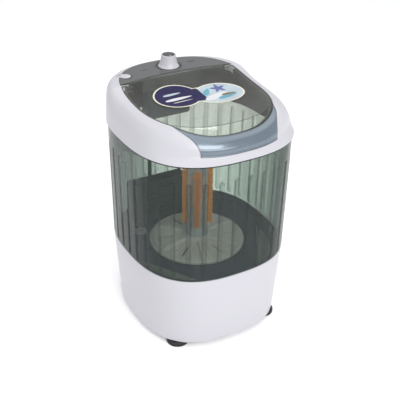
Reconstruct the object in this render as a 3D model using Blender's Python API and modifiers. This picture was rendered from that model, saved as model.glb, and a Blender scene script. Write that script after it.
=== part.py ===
"""Mini top-load washing machine: a single smoke-clear tub between a white base and a white domed
top frame, with a hinged clear lid, a control panel with a timer knob, a pulsator with a brush
column, and a belt drive in the base.

Metres, +Z up. The front faces -Y. The origin is on the floor under the middle of the machine.
"""

import math

import bmesh
import bpy
from mathutils import Matrix, Vector

# --- driving dimensions -------------------------------------------------------------------------
CLEARANCE = 0.0004          # between pieces that touch
PLAN_POWER = 2.64           # exponent of the rounded-square plan
PLAN_RATIO = 1.059          # depth over width of the plan
PLAN_STEPS = 56             # points round every plan outline

BASE_BOTTOM_Z = 0.0108      # the feet lift the base this far
BASE_TOP_Z = 0.1802         # seam between base and tub
BASE_BOTTOM_HALF = 0.1577   # half widths across X
BASE_TOP_HALF = 0.1682
BASE_WALL = 0.003
PLATE_Z = 0.012             # underside of the bottom plate
PLATE_THICK = 0.0025

TUB_FLOOR_Z = 0.1575        # underside of the tub floor
TUB_TOP_Z = 0.4440
TUB_TOP_HALF = 0.1722
TUB_WALL = 0.0026
SHAFT_HOLE = 0.0142         # radius of the hole in the tub floor

RIM_Z = 0.4446              # lower edge of the top frame
RIM_HALF = 0.1750
FRAME_WALL = 0.0026
FRAME_FRONT_WALL = 0.0054   # thicker where the fascia is let in
SKIRT_LOW_Z = 0.418         # lower edge of the frame's skirt inside the tub, behind and beside
SKIRT_FRONT_Z = 0.440       # and at the front
OPENING_HALF = 0.1365       # the oval opening that the lid and the panel fill
OPENING_MIDDLE_Y = 0.018
OPENING_FRONT = 0.168
OPENING_BACK = 0.162
OPENING_FRONT_POWER = 2.5
OPENING_BACK_POWER = 2.7
REBATE_DEPTH = 0.0036       # the ledge that the lid and the panel lie over
LEDGE_WIDTH = 0.0072
LIP_HEIGHT = 0.010

LID_FRONT_Z = 0.5020        # the lid rises from here towards the hinge
PANEL_TOP_Z = 0.5165
LID_RISE_POWER = 2.6
LID_RISE_FROM_Y = -0.050
LID_THICK = 0.0022
LID_GAP = 0.0008
SKIRT_DROP = 0.016          # the lid's curved front skirt
SKIRT_FLARE = 0.011
SKIRT_HALF_WIDTH = 0.112
HINGE_LINE_Y = 0.106        # middle of the arched line between lid and panel
HINGE_LINE_SAG = 0.015
HINGE_LINE_HALF = 0.121
HINGE_GAP = 0.0020
HINGE_Y = 0.090
HINGE_Z = 0.5136
PIN_RADIUS = 0.0015
PIN_INNER_X = 0.1125
PIN_OUTER_X = 0.1318
BOSS_INNER_X = 0.1300

PANEL_THICK = 0.0031
KNOB_X = 0.005
KNOB_Y = 0.142
KNOB_RADIUS = 0.0225
KNOB_TOP_RADIUS = 0.0155
KNOB_TOP_Z = 0.5420
KNOB_DISH_DEPTH = 0.0012
KNOB_DISH_RADIUS = 0.027
TIMER_SHAFT_RADIUS = 0.003
TIMER_SHAFT_LOW_Z = 0.4975
STEM_HOLE_RADIUS = 0.006
DECK_FRONT_Y = 0.110
DECK_TOP_Z = PANEL_TOP_Z - 0.0003 - REBATE_DEPTH - 0.0001
DECK_THICK = 0.0024
COVER_FLOOR_Z = 0.479

INLET_NEAR = (-0.1015, 0.1275)     # centres of the two ends of the inlet's head
INLET_FAR = (-0.1115, 0.1365)
INLET_RADIUS = 0.0105
INLET_FAR_RADIUS = 0.0070
INLET_BORE = 0.0035
INLET_TOP_Z = 0.5180

BOX_WALL = 0.0022           # of the wiring box and the lint filter
WIRING_HALF_WIDTH = 0.052
WIRING_FRONT_Y = 0.130
WIRING_BACK_Y = 0.160
WIRING_LOW_Z = 0.404
CONDUIT_X = -0.038
CONDUIT_Y = 0.1535
CONDUIT_RADIUS = 0.0045
CONDUIT_BORE = 0.0034
FILTER_LOW = (-0.100, 0.112, 0.164)
FILTER_HIGH = (0.035, 0.146, 0.262)

SHAFT_RADIUS = 0.004
PULSATOR_RADIUS = 0.104
PULSATOR_RIM_Z = 0.1660
BEARING_RADIUS = 0.011
BRUSH_CORE_TOP_Z = 0.3716
BRISTLE_LOW_Z = 0.204
BRISTLE_HIGH_Z = 0.338
BRISTLE_REACH = 0.033
FIRST_BRISTLE_DEG = 60.0

BELT_Z = 0.072
BELT_RADIUS = 0.003
DRIVEN_BELT_RADIUS = 0.055
MOTOR_BELT_RADIUS = 0.013
MOTOR_Y = 0.100
MOTOR_RADIUS = 0.042
MOTOR_LOW_Z = 0.086
MOTOR_SHAFT_LOW_Z = 0.055
MOTOR_TOP_Z = 0.1462
BRACKET_THICK = 0.0025
BRACKET_LEG_X = 0.052
BOLT_SPACING = 0.038

DRAIN_X = -0.096
DRAIN_Y = 0.086
DRAIN_RADIUS = 0.009
DRAIN_OUT_Z = 0.046
DRAIN_END_Y = 0.178
GLAND_X = 0.070
GLAND_Z = 0.040

FOOT_X = 0.108
FOOT_Y = 0.114
FOOT_RADIUS = 0.024

# Sections of the top frame, from its lower edge (0, 0) to the opening (1, 1), as
# (share of the way in, share of the way up). The front has a rim band under the fascia.
FRONT_SECTION = ((0, 0), (0.33, 0.26), (0.41, 0.58), (0.59, 0.83), (0.79, 0.96), (1, 1))
SIDE_SECTION = ((0, 0), (0.10, 0.22), (0.19, 0.47), (0.36, 0.71), (0.62, 0.90), (1, 1))
BACK_SECTION = ((0, 0), (0.02, 0.35), (0.05, 0.65), (0.15, 0.88), (0.45, 0.985), (1, 1))


# --- scene, collections and materials -------------------------------------------------------------
def empty_scene():
    for old in list(bpy.data.objects):
        bpy.data.objects.remove(old, do_unlink=True)


def new_collection(name):
    made = bpy.data.collections.new(name)
    bpy.context.scene.collection.children.link(made)
    return made


empty_scene()
PARTS = new_collection("mini_washing_machine")
CUTTERS = new_collection("cutters")


def material(name, colour, roughness, metallic=0.0, alpha=1.0):
    made = bpy.data.materials.new(name)
    made.use_nodes = True
    shader = made.node_tree.nodes["Principled BSDF"]
    shader.inputs["Base Color"].default_value = (*colour, 1.0)
    shader.inputs["Roughness"].default_value = roughness
    shader.inputs["Metallic"].default_value = metallic
    shader.inputs["Alpha"].default_value = alpha
    return made


WHITE = material("white_plastic", (0.76, 0.75, 0.79), 0.30)
SMOKE = material("smoke_clear_plastic", (0.30, 0.36, 0.33), 0.08, alpha=0.45)
LID_SMOKE = material("lid_clear_plastic", (0.34, 0.37, 0.35), 0.06, alpha=0.5)
FASCIA_BLUE = material("blue_grey_plastic", (0.24, 0.30, 0.37), 0.35)
PANEL_GREY = material("dark_grey_plastic", (0.17, 0.18, 0.17), 0.25)
PULSATOR_GREY = material("grey_plastic", (0.36, 0.35, 0.34), 0.45)
BRISTLE_ORANGE = material("orange_bristles", (0.62, 0.25, 0.05), 0.80)
LABEL_BLUE = material("label_film", (0.05, 0.06, 0.16), 0.40)
RUBBER = material("black_rubber", (0.02, 0.02, 0.02), 0.75)
STEEL = material("steel", (0.62, 0.62, 0.60), 0.30, metallic=1.0)
ALUMINIUM = material("cast_aluminium", (0.55, 0.56, 0.57), 0.45, metallic=1.0)
MOTOR_PAINT = material("motor_paint", (0.10, 0.11, 0.13), 0.45, metallic=0.4)
BLACK_PLASTIC = material("black_plastic", (0.03, 0.03, 0.035), 0.50)


# --- building helpers -----------------------------------------------------------------------------
def mesh_object(name, points, faces, surface, cutter=False):
    mesh = bpy.data.meshes.new(name)
    mesh.from_pydata([tuple(point) for point in points], [], faces)
    return place_mesh(name, mesh, surface, cutter)


def place_mesh(name, mesh, surface, cutter=False):
    """Links a mesh as a named object, smooth except at sharp edges."""
    if surface is not None:
        mesh.materials.append(surface)
    mesh.shade_smooth()
    mesh.set_sharp_from_angle(angle=math.radians(35))
    made = bpy.data.objects.new(name, mesh)
    (CUTTERS if cutter else PARTS).objects.link(made)
    if cutter:
        made.hide_render = True
        made.display_type = "WIRE"
    return made


def grid_faces(rows, columns, rows_close=False, columns_close=True):
    """Quads over a grid of points that is stored row after row."""
    faces = []
    for row in range(rows if rows_close else rows - 1):
        following = (row + 1) % rows
        for column in range(columns if columns_close else columns - 1):
            right = (column + 1) % columns
            faces.append(
                (
                    row * columns + column,
                    row * columns + right,
                    following * columns + right,
                    following * columns + column,
                )
            )
    return faces


def skin(name, rings, surface, thickness, offset=-1.0, closed=True, middle=None, cutter=False):
    """An open surface through rings of points, given a thickness by Solidify."""
    points = [point for ring in rings for point in ring]
    faces = grid_faces(len(rings), len(rings[0]), columns_close=closed)
    if middle is not None:
        points.append(middle)
        count = len(rings[0])
        faces += [((step + 1) % count, step, len(points) - 1) for step in range(count)]
    made = mesh_object(name, points, faces, surface, cutter)
    solidify = made.modifiers.new("Thickness", "SOLIDIFY")
    solidify.thickness = thickness
    solidify.offset = offset
    solidify.use_even_offset = True
    return made


def plate(name, outline, low, high, surface, cutter=False):
    """A flat outline, anticlockwise from above, extruded from low to high."""
    shape = bmesh.new()
    bottom = shape.faces.new([shape.verts.new((x, y, low)) for x, y in outline])
    bottom.normal_flip()
    raised = bmesh.ops.extrude_face_region(shape, geom=[bottom], use_keep_orig=True)
    lifted = [item for item in raised["geom"] if isinstance(item, bmesh.types.BMVert)]
    bmesh.ops.translate(shape, vec=(0, 0, high - low), verts=lifted)
    bmesh.ops.recalc_face_normals(shape, faces=shape.faces)
    mesh = bpy.data.meshes.new(name)
    shape.to_mesh(mesh)
    shape.free()
    return place_mesh(name, mesh, surface, cutter)


def box(name, low, high, surface, bevel=0.0, cutter=False):
    """An axis-aligned box between two corners."""
    shape = bmesh.new()
    bmesh.ops.create_cube(shape, size=1.0)
    size = [high[axis] - low[axis] for axis in range(3)]
    middle = [(high[axis] + low[axis]) / 2 for axis in range(3)]
    bmesh.ops.scale(shape, vec=size, verts=shape.verts)
    bmesh.ops.translate(shape, vec=middle, verts=shape.verts)
    mesh = bpy.data.meshes.new(name)
    shape.to_mesh(mesh)
    shape.free()
    made = place_mesh(name, mesh, surface, cutter)
    if bevel:
        round_edges(made, bevel)
    return made


def round_edges(made, width, segments=1):
    bevel = made.modifiers.new("Rounding", "BEVEL")
    bevel.width = width
    bevel.segments = segments
    bevel.limit_method = "ANGLE"
    return made


def rod(name, radius, start, end, surface, sides=16, cutter=False):
    """A solid round bar between two points."""
    start, end = Vector(start), Vector(end)
    shape = bmesh.new()
    bmesh.ops.create_cone(
        shape, cap_ends=True, segments=sides, radius1=radius, radius2=radius,
        depth=(end - start).length,
    )
    turn = Vector((0, 0, 1)).rotation_difference(end - start).to_matrix().to_4x4()
    shape.transform(Matrix.Translation((start + end) / 2) @ turn)
    mesh = bpy.data.meshes.new(name)
    shape.to_mesh(mesh)
    shape.free()
    return place_mesh(name, mesh, surface, cutter)


def turned(name, profile, surface, at=(0, 0, 0), ring=False, steps=32, cutter=False):
    """A profile of (radius, z), from the top down its outer side, spun round Z by Screw."""
    count = len(profile)
    edges = [(step, (step + 1) % count) for step in range(count if ring else count - 1)]
    mesh = bpy.data.meshes.new(name)
    mesh.from_pydata([(radius, 0, z) for radius, z in profile], edges, [])
    made = place_mesh(name, mesh, surface, cutter)
    made.location = at
    spin = made.modifiers.new("Turning", "SCREW")
    spin.steps = steps
    spin.render_steps = steps
    spin.use_merge_vertices = True
    spin.merge_threshold = 0.00001
    return made


def washer(name, inner, outer, low, high, surface, at=(0, 0, 0), steps=20):
    profile = ((outer, high), (outer, low), (inner, low), (inner, high))
    return turned(name, profile, surface, at, ring=True, steps=steps)


def combine(made, other, operation):
    boolean = made.modifiers.new(operation.title(), "BOOLEAN")
    boolean.operation = operation
    boolean.solver = "EXACT"
    boolean.object = other
    return made


def cut(made, *cutters):
    for cutter in cutters:
        combine(made, cutter, "DIFFERENCE")
    return made


def join(made, *helpers):
    for helper in helpers:
        combine(made, helper, "UNION")
    return made


def set_origin(made, point):
    """Moves an object's origin to a point, leaving its shape where it is."""
    made.data.transform(Matrix.Translation(-Vector(point)))
    made.location = point
    return made


def curve_object(name, points, radius, surface, closed=False, caps=True, resolution=3):
    """A round-section POLY curve through the points."""
    curve = bpy.data.curves.new(name, "CURVE")
    curve.dimensions = "3D"
    curve.bevel_depth = radius
    curve.bevel_resolution = resolution
    curve.use_fill_caps = caps
    spline = curve.splines.new("POLY")
    spline.points.add(len(points) - 1)
    for knot, point in zip(spline.points, points):
        knot.co = (*point, 1.0)
    spline.use_cyclic_u = closed
    spline.use_smooth = True
    curve.materials.append(surface)
    made = bpy.data.objects.new(name, curve)
    PARTS.objects.link(made)
    return made


# --- outlines and surfaces that several pieces share ----------------------------------------------
def smoothstep(low, high, value):
    share = min(1.0, max(0.0, (value - low) / (high - low)))
    return share * share * (3 - 2 * share)


def plan_radius(angle, half_x, half_y, power):
    """Distance from the middle to a superellipse in the direction of angle."""
    across = abs(math.cos(angle)) / half_x
    along = abs(math.sin(angle)) / half_y
    return (across**power + along**power) ** (-1 / power)


def plan_angles(count=PLAN_STEPS):
    return [2 * math.pi * step / count for step in range(count)]


def plan_ring(half, z):
    """The machine's plan outline, scaled to a half width, at a height."""
    ring = []
    for angle in plan_angles():
        reach = plan_radius(angle, half, half * PLAN_RATIO, PLAN_POWER)
        ring.append((reach * math.cos(angle), reach * math.sin(angle), z))
    return ring


def opening_gauge(x, y, inset):
    """Under 1 inside the top frame's oval opening, 1 on its edge."""
    front = y < OPENING_MIDDLE_Y
    depth = (OPENING_FRONT if front else OPENING_BACK) - inset
    power = OPENING_FRONT_POWER if front else OPENING_BACK_POWER
    across = abs(x) / (OPENING_HALF - inset)
    along = abs(y - OPENING_MIDDLE_Y) / depth
    return (across**power + along**power) ** (1 / power)


def opening_point(angle, inset=0.0):
    front = math.sin(angle) < 0
    depth = (OPENING_FRONT if front else OPENING_BACK) - inset
    power = OPENING_FRONT_POWER if front else OPENING_BACK_POWER
    reach = plan_radius(angle, OPENING_HALF - inset, depth, power)
    return reach * math.cos(angle), OPENING_MIDDLE_Y + reach * math.sin(angle)


def hinge_line_y(x):
    return HINGE_LINE_Y - HINGE_LINE_SAG * (x / HINGE_LINE_HALF) ** 2


def lid_surface_z(y):
    """Height of the lid's top: level in front, rising to the level of the panel."""
    reach = (y - LID_RISE_FROM_Y) / (HINGE_Y - LID_RISE_FROM_Y)
    share = min(1.0, max(0.0, reach)) ** LID_RISE_POWER
    return LID_FRONT_Z + (PANEL_TOP_Z - LID_FRONT_Z) * share


def skirt_share(x, y):
    """1 at the middle of the lid's front, 0 where its skirt ends."""
    if y > OPENING_MIDDLE_Y:
        return 0.0
    return max(0.0, 1 - (abs(x) / SKIRT_HALF_WIDTH) ** 2.5)


def opening_edge_z(x, y):
    return lid_surface_z(y) - 0.0003 - SKIRT_DROP * skirt_share(x, y)


def through(values, share):
    """A smooth curve through evenly spaced values, read at a share from 0 to 1."""
    last = len(values) - 1
    place = min(max(share, 0.0), 1.0) * last
    index = min(int(place), last - 1)
    local = place - index
    before = values[max(index - 1, 0)]
    start, end = values[index], values[index + 1]
    after = values[min(index + 2, last)]
    return 0.5 * (
        2 * start
        + (end - before) * local
        + (2 * before - 5 * start + 4 * end - after) * local**2
        + (3 * start - before - 3 * end + after) * local**3
    )


def frame_point(angle, rise):
    """The top frame's outer surface: rise 0 is its lower edge, 1 is the opening."""
    reach = plan_radius(angle, RIM_HALF, RIM_HALF * PLAN_RATIO, PLAN_POWER)
    outer_x, outer_y = reach * math.cos(angle), reach * math.sin(angle)
    inner_x, inner_y = opening_point(angle)
    edge_z = opening_edge_z(inner_x, inner_y)
    facing = outer_y / (RIM_HALF * PLAN_RATIO)
    front = smoothstep(0.50, 0.92, -facing)
    back = smoothstep(0.10, 0.75, facing)
    side = 1 - front - back
    inward, upward = (
        through(
            [
                front * ahead[axis] + side * beside[axis] + back * behind[axis]
                for ahead, beside, behind in zip(FRONT_SECTION, SIDE_SECTION, BACK_SECTION)
            ],
            rise,
        )
        for axis in (0, 1)
    )
    return Vector(
        (
            outer_x + (inner_x - outer_x) * inward,
            outer_y + (inner_y - outer_y) * inward,
            RIM_Z + (edge_z - RIM_Z) * upward,
        )
    )


def frame_normal(angle, rise):
    """Outward unit normal of the top frame's outer surface."""
    step = 0.01
    low, high = max(rise - step, 0.0), min(rise + step, 1.0)
    along = frame_point(angle + step, rise) - frame_point(angle - step, rise)
    up = frame_point(angle, high) - frame_point(angle, low)
    return along.cross(up).normalized()


def frame_offset(angle, rise, outward):
    """A point off the frame's outer surface. Past the opening it runs on in a straight line."""
    base = frame_point(angle, min(rise, 1.0))
    if rise > 1.0:
        base += (frame_point(angle, 1.0) - frame_point(angle, 0.97)) * ((rise - 1.0) / 0.03)
    return base + frame_normal(angle, min(rise, 1.0)) * outward


def outline_ring(inside, middle_y, count=PLAN_STEPS):
    """Points where inside(x, y), a gauge that grows outwards, passes 1, by halving."""
    ring = []
    for angle in plan_angles(count):
        near, far = 0.0, 0.4
        for _ in range(40):
            reach = (near + far) / 2
            if inside(reach * math.cos(angle), middle_y + reach * math.sin(angle)) < 1:
                near = reach
            else:
                far = reach
        ring.append((near * math.cos(angle), middle_y + near * math.sin(angle)))
    return ring


# --- base: housing, bottom plate, feet -------------------------------------------------------------
def base_half(z):
    share = (z - BASE_BOTTOM_Z) / (BASE_TOP_Z - BASE_BOTTOM_Z)
    return BASE_BOTTOM_HALF + (BASE_TOP_HALF - BASE_BOTTOM_HALF) * share


def make_base():
    housing = skin(
        "base_housing",
        [plan_ring(base_half(z), z) for z in (BASE_BOTTOM_Z, BASE_TOP_Z)],
        WHITE,
        BASE_WALL,
    )
    drain_hole = rod(
        "drain_hole_cutter", DRAIN_RADIUS + CLEARANCE, (DRAIN_X, 0.12, DRAIN_OUT_Z),
        (DRAIN_X, 0.2, DRAIN_OUT_Z), None, cutter=True,
    )
    gland_hole = rod(
        "gland_hole_cutter", 0.0074, (GLAND_X, 0.13, GLAND_Z), (GLAND_X, 0.2, GLAND_Z), None,
        cutter=True,
    )
    cut(housing, drain_hole, gland_hole)
    for row in range(4):
        z = 0.085 + 0.014 * row
        slot = box(
            f"vent_cutter_{row}", (-0.045, 0.13, z), (0.045, 0.2, z + 0.005), None, cutter=True
        )
        cut(housing, slot)

    half = base_half(PLATE_Z) - BASE_WALL - 0.0006
    outline = [(x, y) for x, y, _ in plan_ring(half, 0)]
    bottom = plate("base_plate", outline, PLATE_Z, PLATE_Z + PLATE_THICK, WHITE)
    for column in range(-3, 4):
        x = 0.018 * column
        slot = box(
            f"plate_vent_cutter_{column + 3}", (x - 0.003, -0.105, 0), (x + 0.003, -0.055, 0.03),
            None, cutter=True,
        )
        cut(bottom, slot)


def make_feet():
    profile = (
        (0.0, 0.0116), (0.010, 0.0116), (0.010, 0.0104), (FOOT_RADIUS - 0.003, 0.0104),
        (FOOT_RADIUS, 0.007), (FOOT_RADIUS, 0.002), (FOOT_RADIUS - 0.002, 0.0),
        (0.008, 0.0), (0.008, 0.004), (0.0, 0.004),
    )
    screw = ((0.0, 0.0036), (0.0060, 0.0036), (0.0072, 0.0016), (0.0, 0.0016))
    for row, side_y in (("front", -1), ("rear", 1)):
        for column, side_x in (("left", -1), ("right", 1)):
            at = (side_x * FOOT_X, side_y * FOOT_Y, 0)
            turned(f"foot_{row}_{column}", profile, RUBBER, at, steps=16)
            turned(f"foot_screw_{row}_{column}", screw, STEEL, at, steps=10)


# --- tub and what stands in it ----------------------------------------------------------------------
def make_tub():
    """The clear tub: its foot is let into the base, and it steps out over the base's top edge."""
    foot_half = BASE_TOP_HALF - BASE_WALL - 0.0009
    step_z = BASE_TOP_Z + CLEARANCE
    hole = [
        (SHAFT_HOLE * math.cos(angle), SHAFT_HOLE * math.sin(angle), TUB_FLOOR_Z)
        for angle in plan_angles()
    ]
    rings = [
        hole,
        plan_ring(foot_half - 0.010, TUB_FLOOR_Z),
        plan_ring(foot_half - 0.0015, TUB_FLOOR_Z + 0.006),
        plan_ring(foot_half, step_z),
        plan_ring(BASE_TOP_HALF, step_z),
        plan_ring(TUB_TOP_HALF, TUB_TOP_Z),
    ]
    tub = skin("wash_tub", rings, SMOKE, TUB_WALL)
    drain = rod(
        "drain_cutter", 0.0075, (DRAIN_X, DRAIN_Y, 0.14), (DRAIN_X, DRAIN_Y, 0.17), None,
        cutter=True,
    )
    cut(tub, drain)


def make_drain():
    low = TUB_FLOOR_Z + TUB_WALL + CLEARANCE
    grate = turned(
        "drain_grate",
        ((0.0, low + 0.0024), (0.0135, low + 0.0020), (0.0150, low), (0.0, low)),
        PULSATOR_GREY, (DRAIN_X, DRAIN_Y, 0), steps=24,
    )
    for column in (-1, 0, 1):
        x = DRAIN_X + 0.006 * column
        slot = box(
            f"grate_cutter_{column + 1}", (x - 0.0012, DRAIN_Y - 0.006, 0.155),
            (x + 0.0012, DRAIN_Y + 0.006, 0.17), None, cutter=True,
        )
        cut(grate, slot)

    bend = 0.030
    route = [(DRAIN_X, DRAIN_Y, TUB_FLOOR_Z - CLEARANCE), (DRAIN_X, DRAIN_Y, DRAIN_OUT_Z + bend)]
    for step in range(1, 6):
        angle = math.radians(90 * step / 6)
        route.append(
            (
                DRAIN_X,
                DRAIN_Y + bend * (1 - math.cos(angle)),
                DRAIN_OUT_Z + bend * (1 - math.sin(angle)),
            )
        )
    route += [(DRAIN_X, DRAIN_Y + bend, DRAIN_OUT_Z), (DRAIN_X, DRAIN_END_Y, DRAIN_OUT_Z)]
    pipe = curve_object("drain_pipe", route, DRAIN_RADIUS, BLACK_PLASTIC, caps=False, resolution=3)
    wall = pipe.modifiers.new("Wall", "SOLIDIFY")
    wall.thickness = 0.002
    wall.offset = -1.0


def open_box(name, low, high, surface):
    """A box with thin walls and floor that is open at the top."""
    made = box(name, low, high, surface, bevel=0.003)
    hollow = box(
        name + "_cutter", [corner + BOX_WALL for corner in low],
        (high[0] - BOX_WALL, high[1] - BOX_WALL, high[2] + 0.01), None, cutter=True,
    )
    return cut(made, hollow)


def make_rear_wall_pieces():
    """The wiring box under the timer, the pipe that takes its wires down, and the lint filter."""
    wiring = open_box(
        "wiring_box", (-WIRING_HALF_WIDTH, WIRING_FRONT_Y, WIRING_LOW_Z),
        (WIRING_HALF_WIDTH, WIRING_BACK_Y, COVER_FLOOR_Z - CLEARANCE), PANEL_GREY,
    )
    wire_hole = rod(
        "wire_hole_cutter", CONDUIT_BORE, (CONDUIT_X, CONDUIT_Y, WIRING_LOW_Z - 0.01),
        (CONDUIT_X, CONDUIT_Y, WIRING_LOW_Z + 0.01), None, cutter=True,
    )
    cut(wiring, wire_hole)
    washer(
        "wire_conduit", CONDUIT_BORE, CONDUIT_RADIUS, TUB_FLOOR_Z + TUB_WALL + CLEARANCE,
        WIRING_LOW_Z - CLEARANCE, PANEL_GREY, (CONDUIT_X, CONDUIT_Y, 0), steps=16,
    )

    lint = open_box("lint_filter", FILTER_LOW, FILTER_HIGH, PANEL_GREY)
    middle_x = (FILTER_LOW[0] + FILTER_HIGH[0]) / 2
    for row in range(5):
        z = FILTER_LOW[2] + 0.022 + 0.014 * row
        slot = box(
            f"filter_cutter_{row}", (middle_x - 0.045, FILTER_LOW[1] - 0.01, z),
            (middle_x + 0.045, FILTER_LOW[1] + 0.01, z + 0.004), None, cutter=True,
        )
        cut(lint, slot)


# --- pulsator, brush column and drive shaft --------------------------------------------------------
def spun_helper(name, radial, width, low, high, angle):
    """A box cutter that runs out from the axis in the direction of angle."""
    made = box(name, (radial[0], -width / 2, low), (radial[1], width / 2, high), None, cutter=True)
    made.rotation_euler.z = angle
    return made


def make_pulsator():
    rim = PULSATOR_RIM_Z
    profile = (
        (0.0215, rim + 0.0150), (0.026, rim + 0.0120), (0.034, rim + 0.0070),
        (0.100, rim + 0.0036), (PULSATOR_RADIUS, rim + 0.0015),
        (PULSATOR_RADIUS, rim - 0.0025), (0.1015, rim - 0.0025), (0.1000, rim + 0.0006),
        (0.036, rim + 0.0030), (0.014, rim - 0.0005), (SHAFT_RADIUS + CLEARANCE, rim - 0.0005),
        (SHAFT_RADIUS + CLEARANCE, rim + 0.0105), (0.010, rim + 0.0150),
    )
    disc = turned("pulsator", profile, PULSATOR_GREY, ring=True, steps=32)
    for vane in range(6):
        angle = math.radians(60 * vane + 10)
        ridge = spun_helper(
            f"vane_{vane}", (0.024, 0.096), 0.007, rim + 0.0035, rim + 0.0095, angle
        )
        join(disc, ridge)
    for slot in range(6):
        angle = math.radians(60 * slot + 40)
        cut(disc, spun_helper(f"slot_{slot}", (0.052, 0.086), 0.0045, 0.15, 0.19, angle))

    top = rim + 0.0154
    turned(
        "pulsator_screw",
        ((0.0, top + 0.0032), (0.0050, top + 0.0028), (0.0070, top), (0.0, top)),
        STEEL, steps=16,
    )


def make_brush_column():
    """A finned core that stands on the pulsator's hub and holds four rows of bristles."""
    foot = PULSATOR_RIM_Z + 0.0154
    profile = (
        (0.0, BRUSH_CORE_TOP_Z), (0.0125, BRUSH_CORE_TOP_Z), (0.0140, 0.340), (0.0150, 0.260),
        (0.0175, 0.205), (0.0240, foot + 0.005), (0.0260, foot), (0.0095, foot),
        (0.0095, foot + 0.009), (0.0, foot + 0.009),
    )
    core = turned("brush_core", profile, PULSATOR_GREY, steps=20)
    for fin in range(4):
        angle = math.radians(FIRST_BRISTLE_DEG + 45 + 90 * fin)
        join(core, spun_helper(f"fin_{fin}", (0.010, 0.0270), 0.0034, 0.190, 0.352, angle))
        cut(core, spun_helper(f"fin_slot_{fin}", (0.0185, 0.0235), 0.01, 0.215, 0.330, angle))
        angle = math.radians(FIRST_BRISTLE_DEG + 90 * fin)
        seat = spun_helper(f"seat_{fin}", (0.0105, 0.02), 0.0104, BRISTLE_LOW_Z - CLEARANCE,
                           BRISTLE_HIGH_Z + CLEARANCE, angle)
        cut(core, seat)
        strip = box(
            f"bristle_row_{fin + 1}", (0.0110, -0.0048, BRISTLE_LOW_Z),
            (BRISTLE_REACH, 0.0048, BRISTLE_HIGH_Z), BRISTLE_ORANGE, bevel=0.0012,
        )
        strip.rotation_euler.z = angle

    top = BRUSH_CORE_TOP_Z + CLEARANCE
    turned(
        "brush_cap",
        ((0.0, top + 0.014), (0.008, top + 0.0125), (0.0140, top + 0.007), (0.0150, top + 0.001),
         (0.0145, top), (0.0, top)),
        PULSATOR_GREY, steps=24,
    )


def make_shaft_and_bearings():
    rod("drive_shaft", SHAFT_RADIUS, (0, 0, 0.052), (0, 0, PULSATOR_RIM_Z + 0.0098), STEEL)
    top = TUB_FLOOR_Z + TUB_WALL + 0.0015
    under = TUB_FLOOR_Z - CLEARANCE
    bore = BEARING_RADIUS + CLEARANCE
    turned(
        "bearing_housing",
        ((SHAFT_HOLE - CLEARANCE, top), (SHAFT_HOLE - CLEARANCE, under), (0.036, under),
         (0.036, under - 0.005), (0.0175, under - 0.008), (0.0160, 0.108), (bore, 0.108),
         (bore, top)),
        ALUMINIUM, ring=True, steps=24,
    )
    hole = SHAFT_RADIUS + CLEARANCE
    washer("shaft_seal", hole, BEARING_RADIUS, 0.1545, top, RUBBER)
    washer("upper_bearing", hole, BEARING_RADIUS, 0.1460, 0.1530, STEEL)
    washer("lower_bearing", hole, BEARING_RADIUS, 0.1090, 0.1160, STEEL)


# --- belt drive and motor ---------------------------------------------------------------------------
def pulley(name, belt_radius, hub, y, surface):
    """A grooved wheel for the round belt, bored for an 8 mm shaft."""
    outer, root = belt_radius + 0.003, belt_radius - BELT_RADIUS - CLEARANCE
    bore = SHAFT_RADIUS + CLEARANCE
    profile = (
        (bore, BELT_Z + 0.009), (hub, BELT_Z + 0.009), (hub, BELT_Z + 0.006),
        (outer, BELT_Z + 0.006), (root, BELT_Z + 0.0030), (root, BELT_Z - 0.0030),
        (outer, BELT_Z - 0.006),
        (hub, BELT_Z - 0.006), (hub, BELT_Z - 0.009), (bore, BELT_Z - 0.009),
    )
    return turned(name, profile, surface, (0, y, 0), ring=True, steps=24)


def belt_points():
    """Round both pulleys and along the straight runs between them."""
    lean = math.asin((DRIVEN_BELT_RADIUS - MOTOR_BELT_RADIUS) / MOTOR_Y)
    points = []
    for radius, middle_y, first, last in (
        (DRIVEN_BELT_RADIUS, 0.0, math.pi - lean, 2 * math.pi + lean),
        (MOTOR_BELT_RADIUS, MOTOR_Y, lean, math.pi - lean),
    ):
        steps = max(8, round(radius * (last - first) / 0.012))
        for step in range(steps + 1):
            angle = first + (last - first) * step / steps
            points.append(
                (radius * math.cos(angle), middle_y + radius * math.sin(angle), BELT_Z)
            )
    return points


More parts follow.
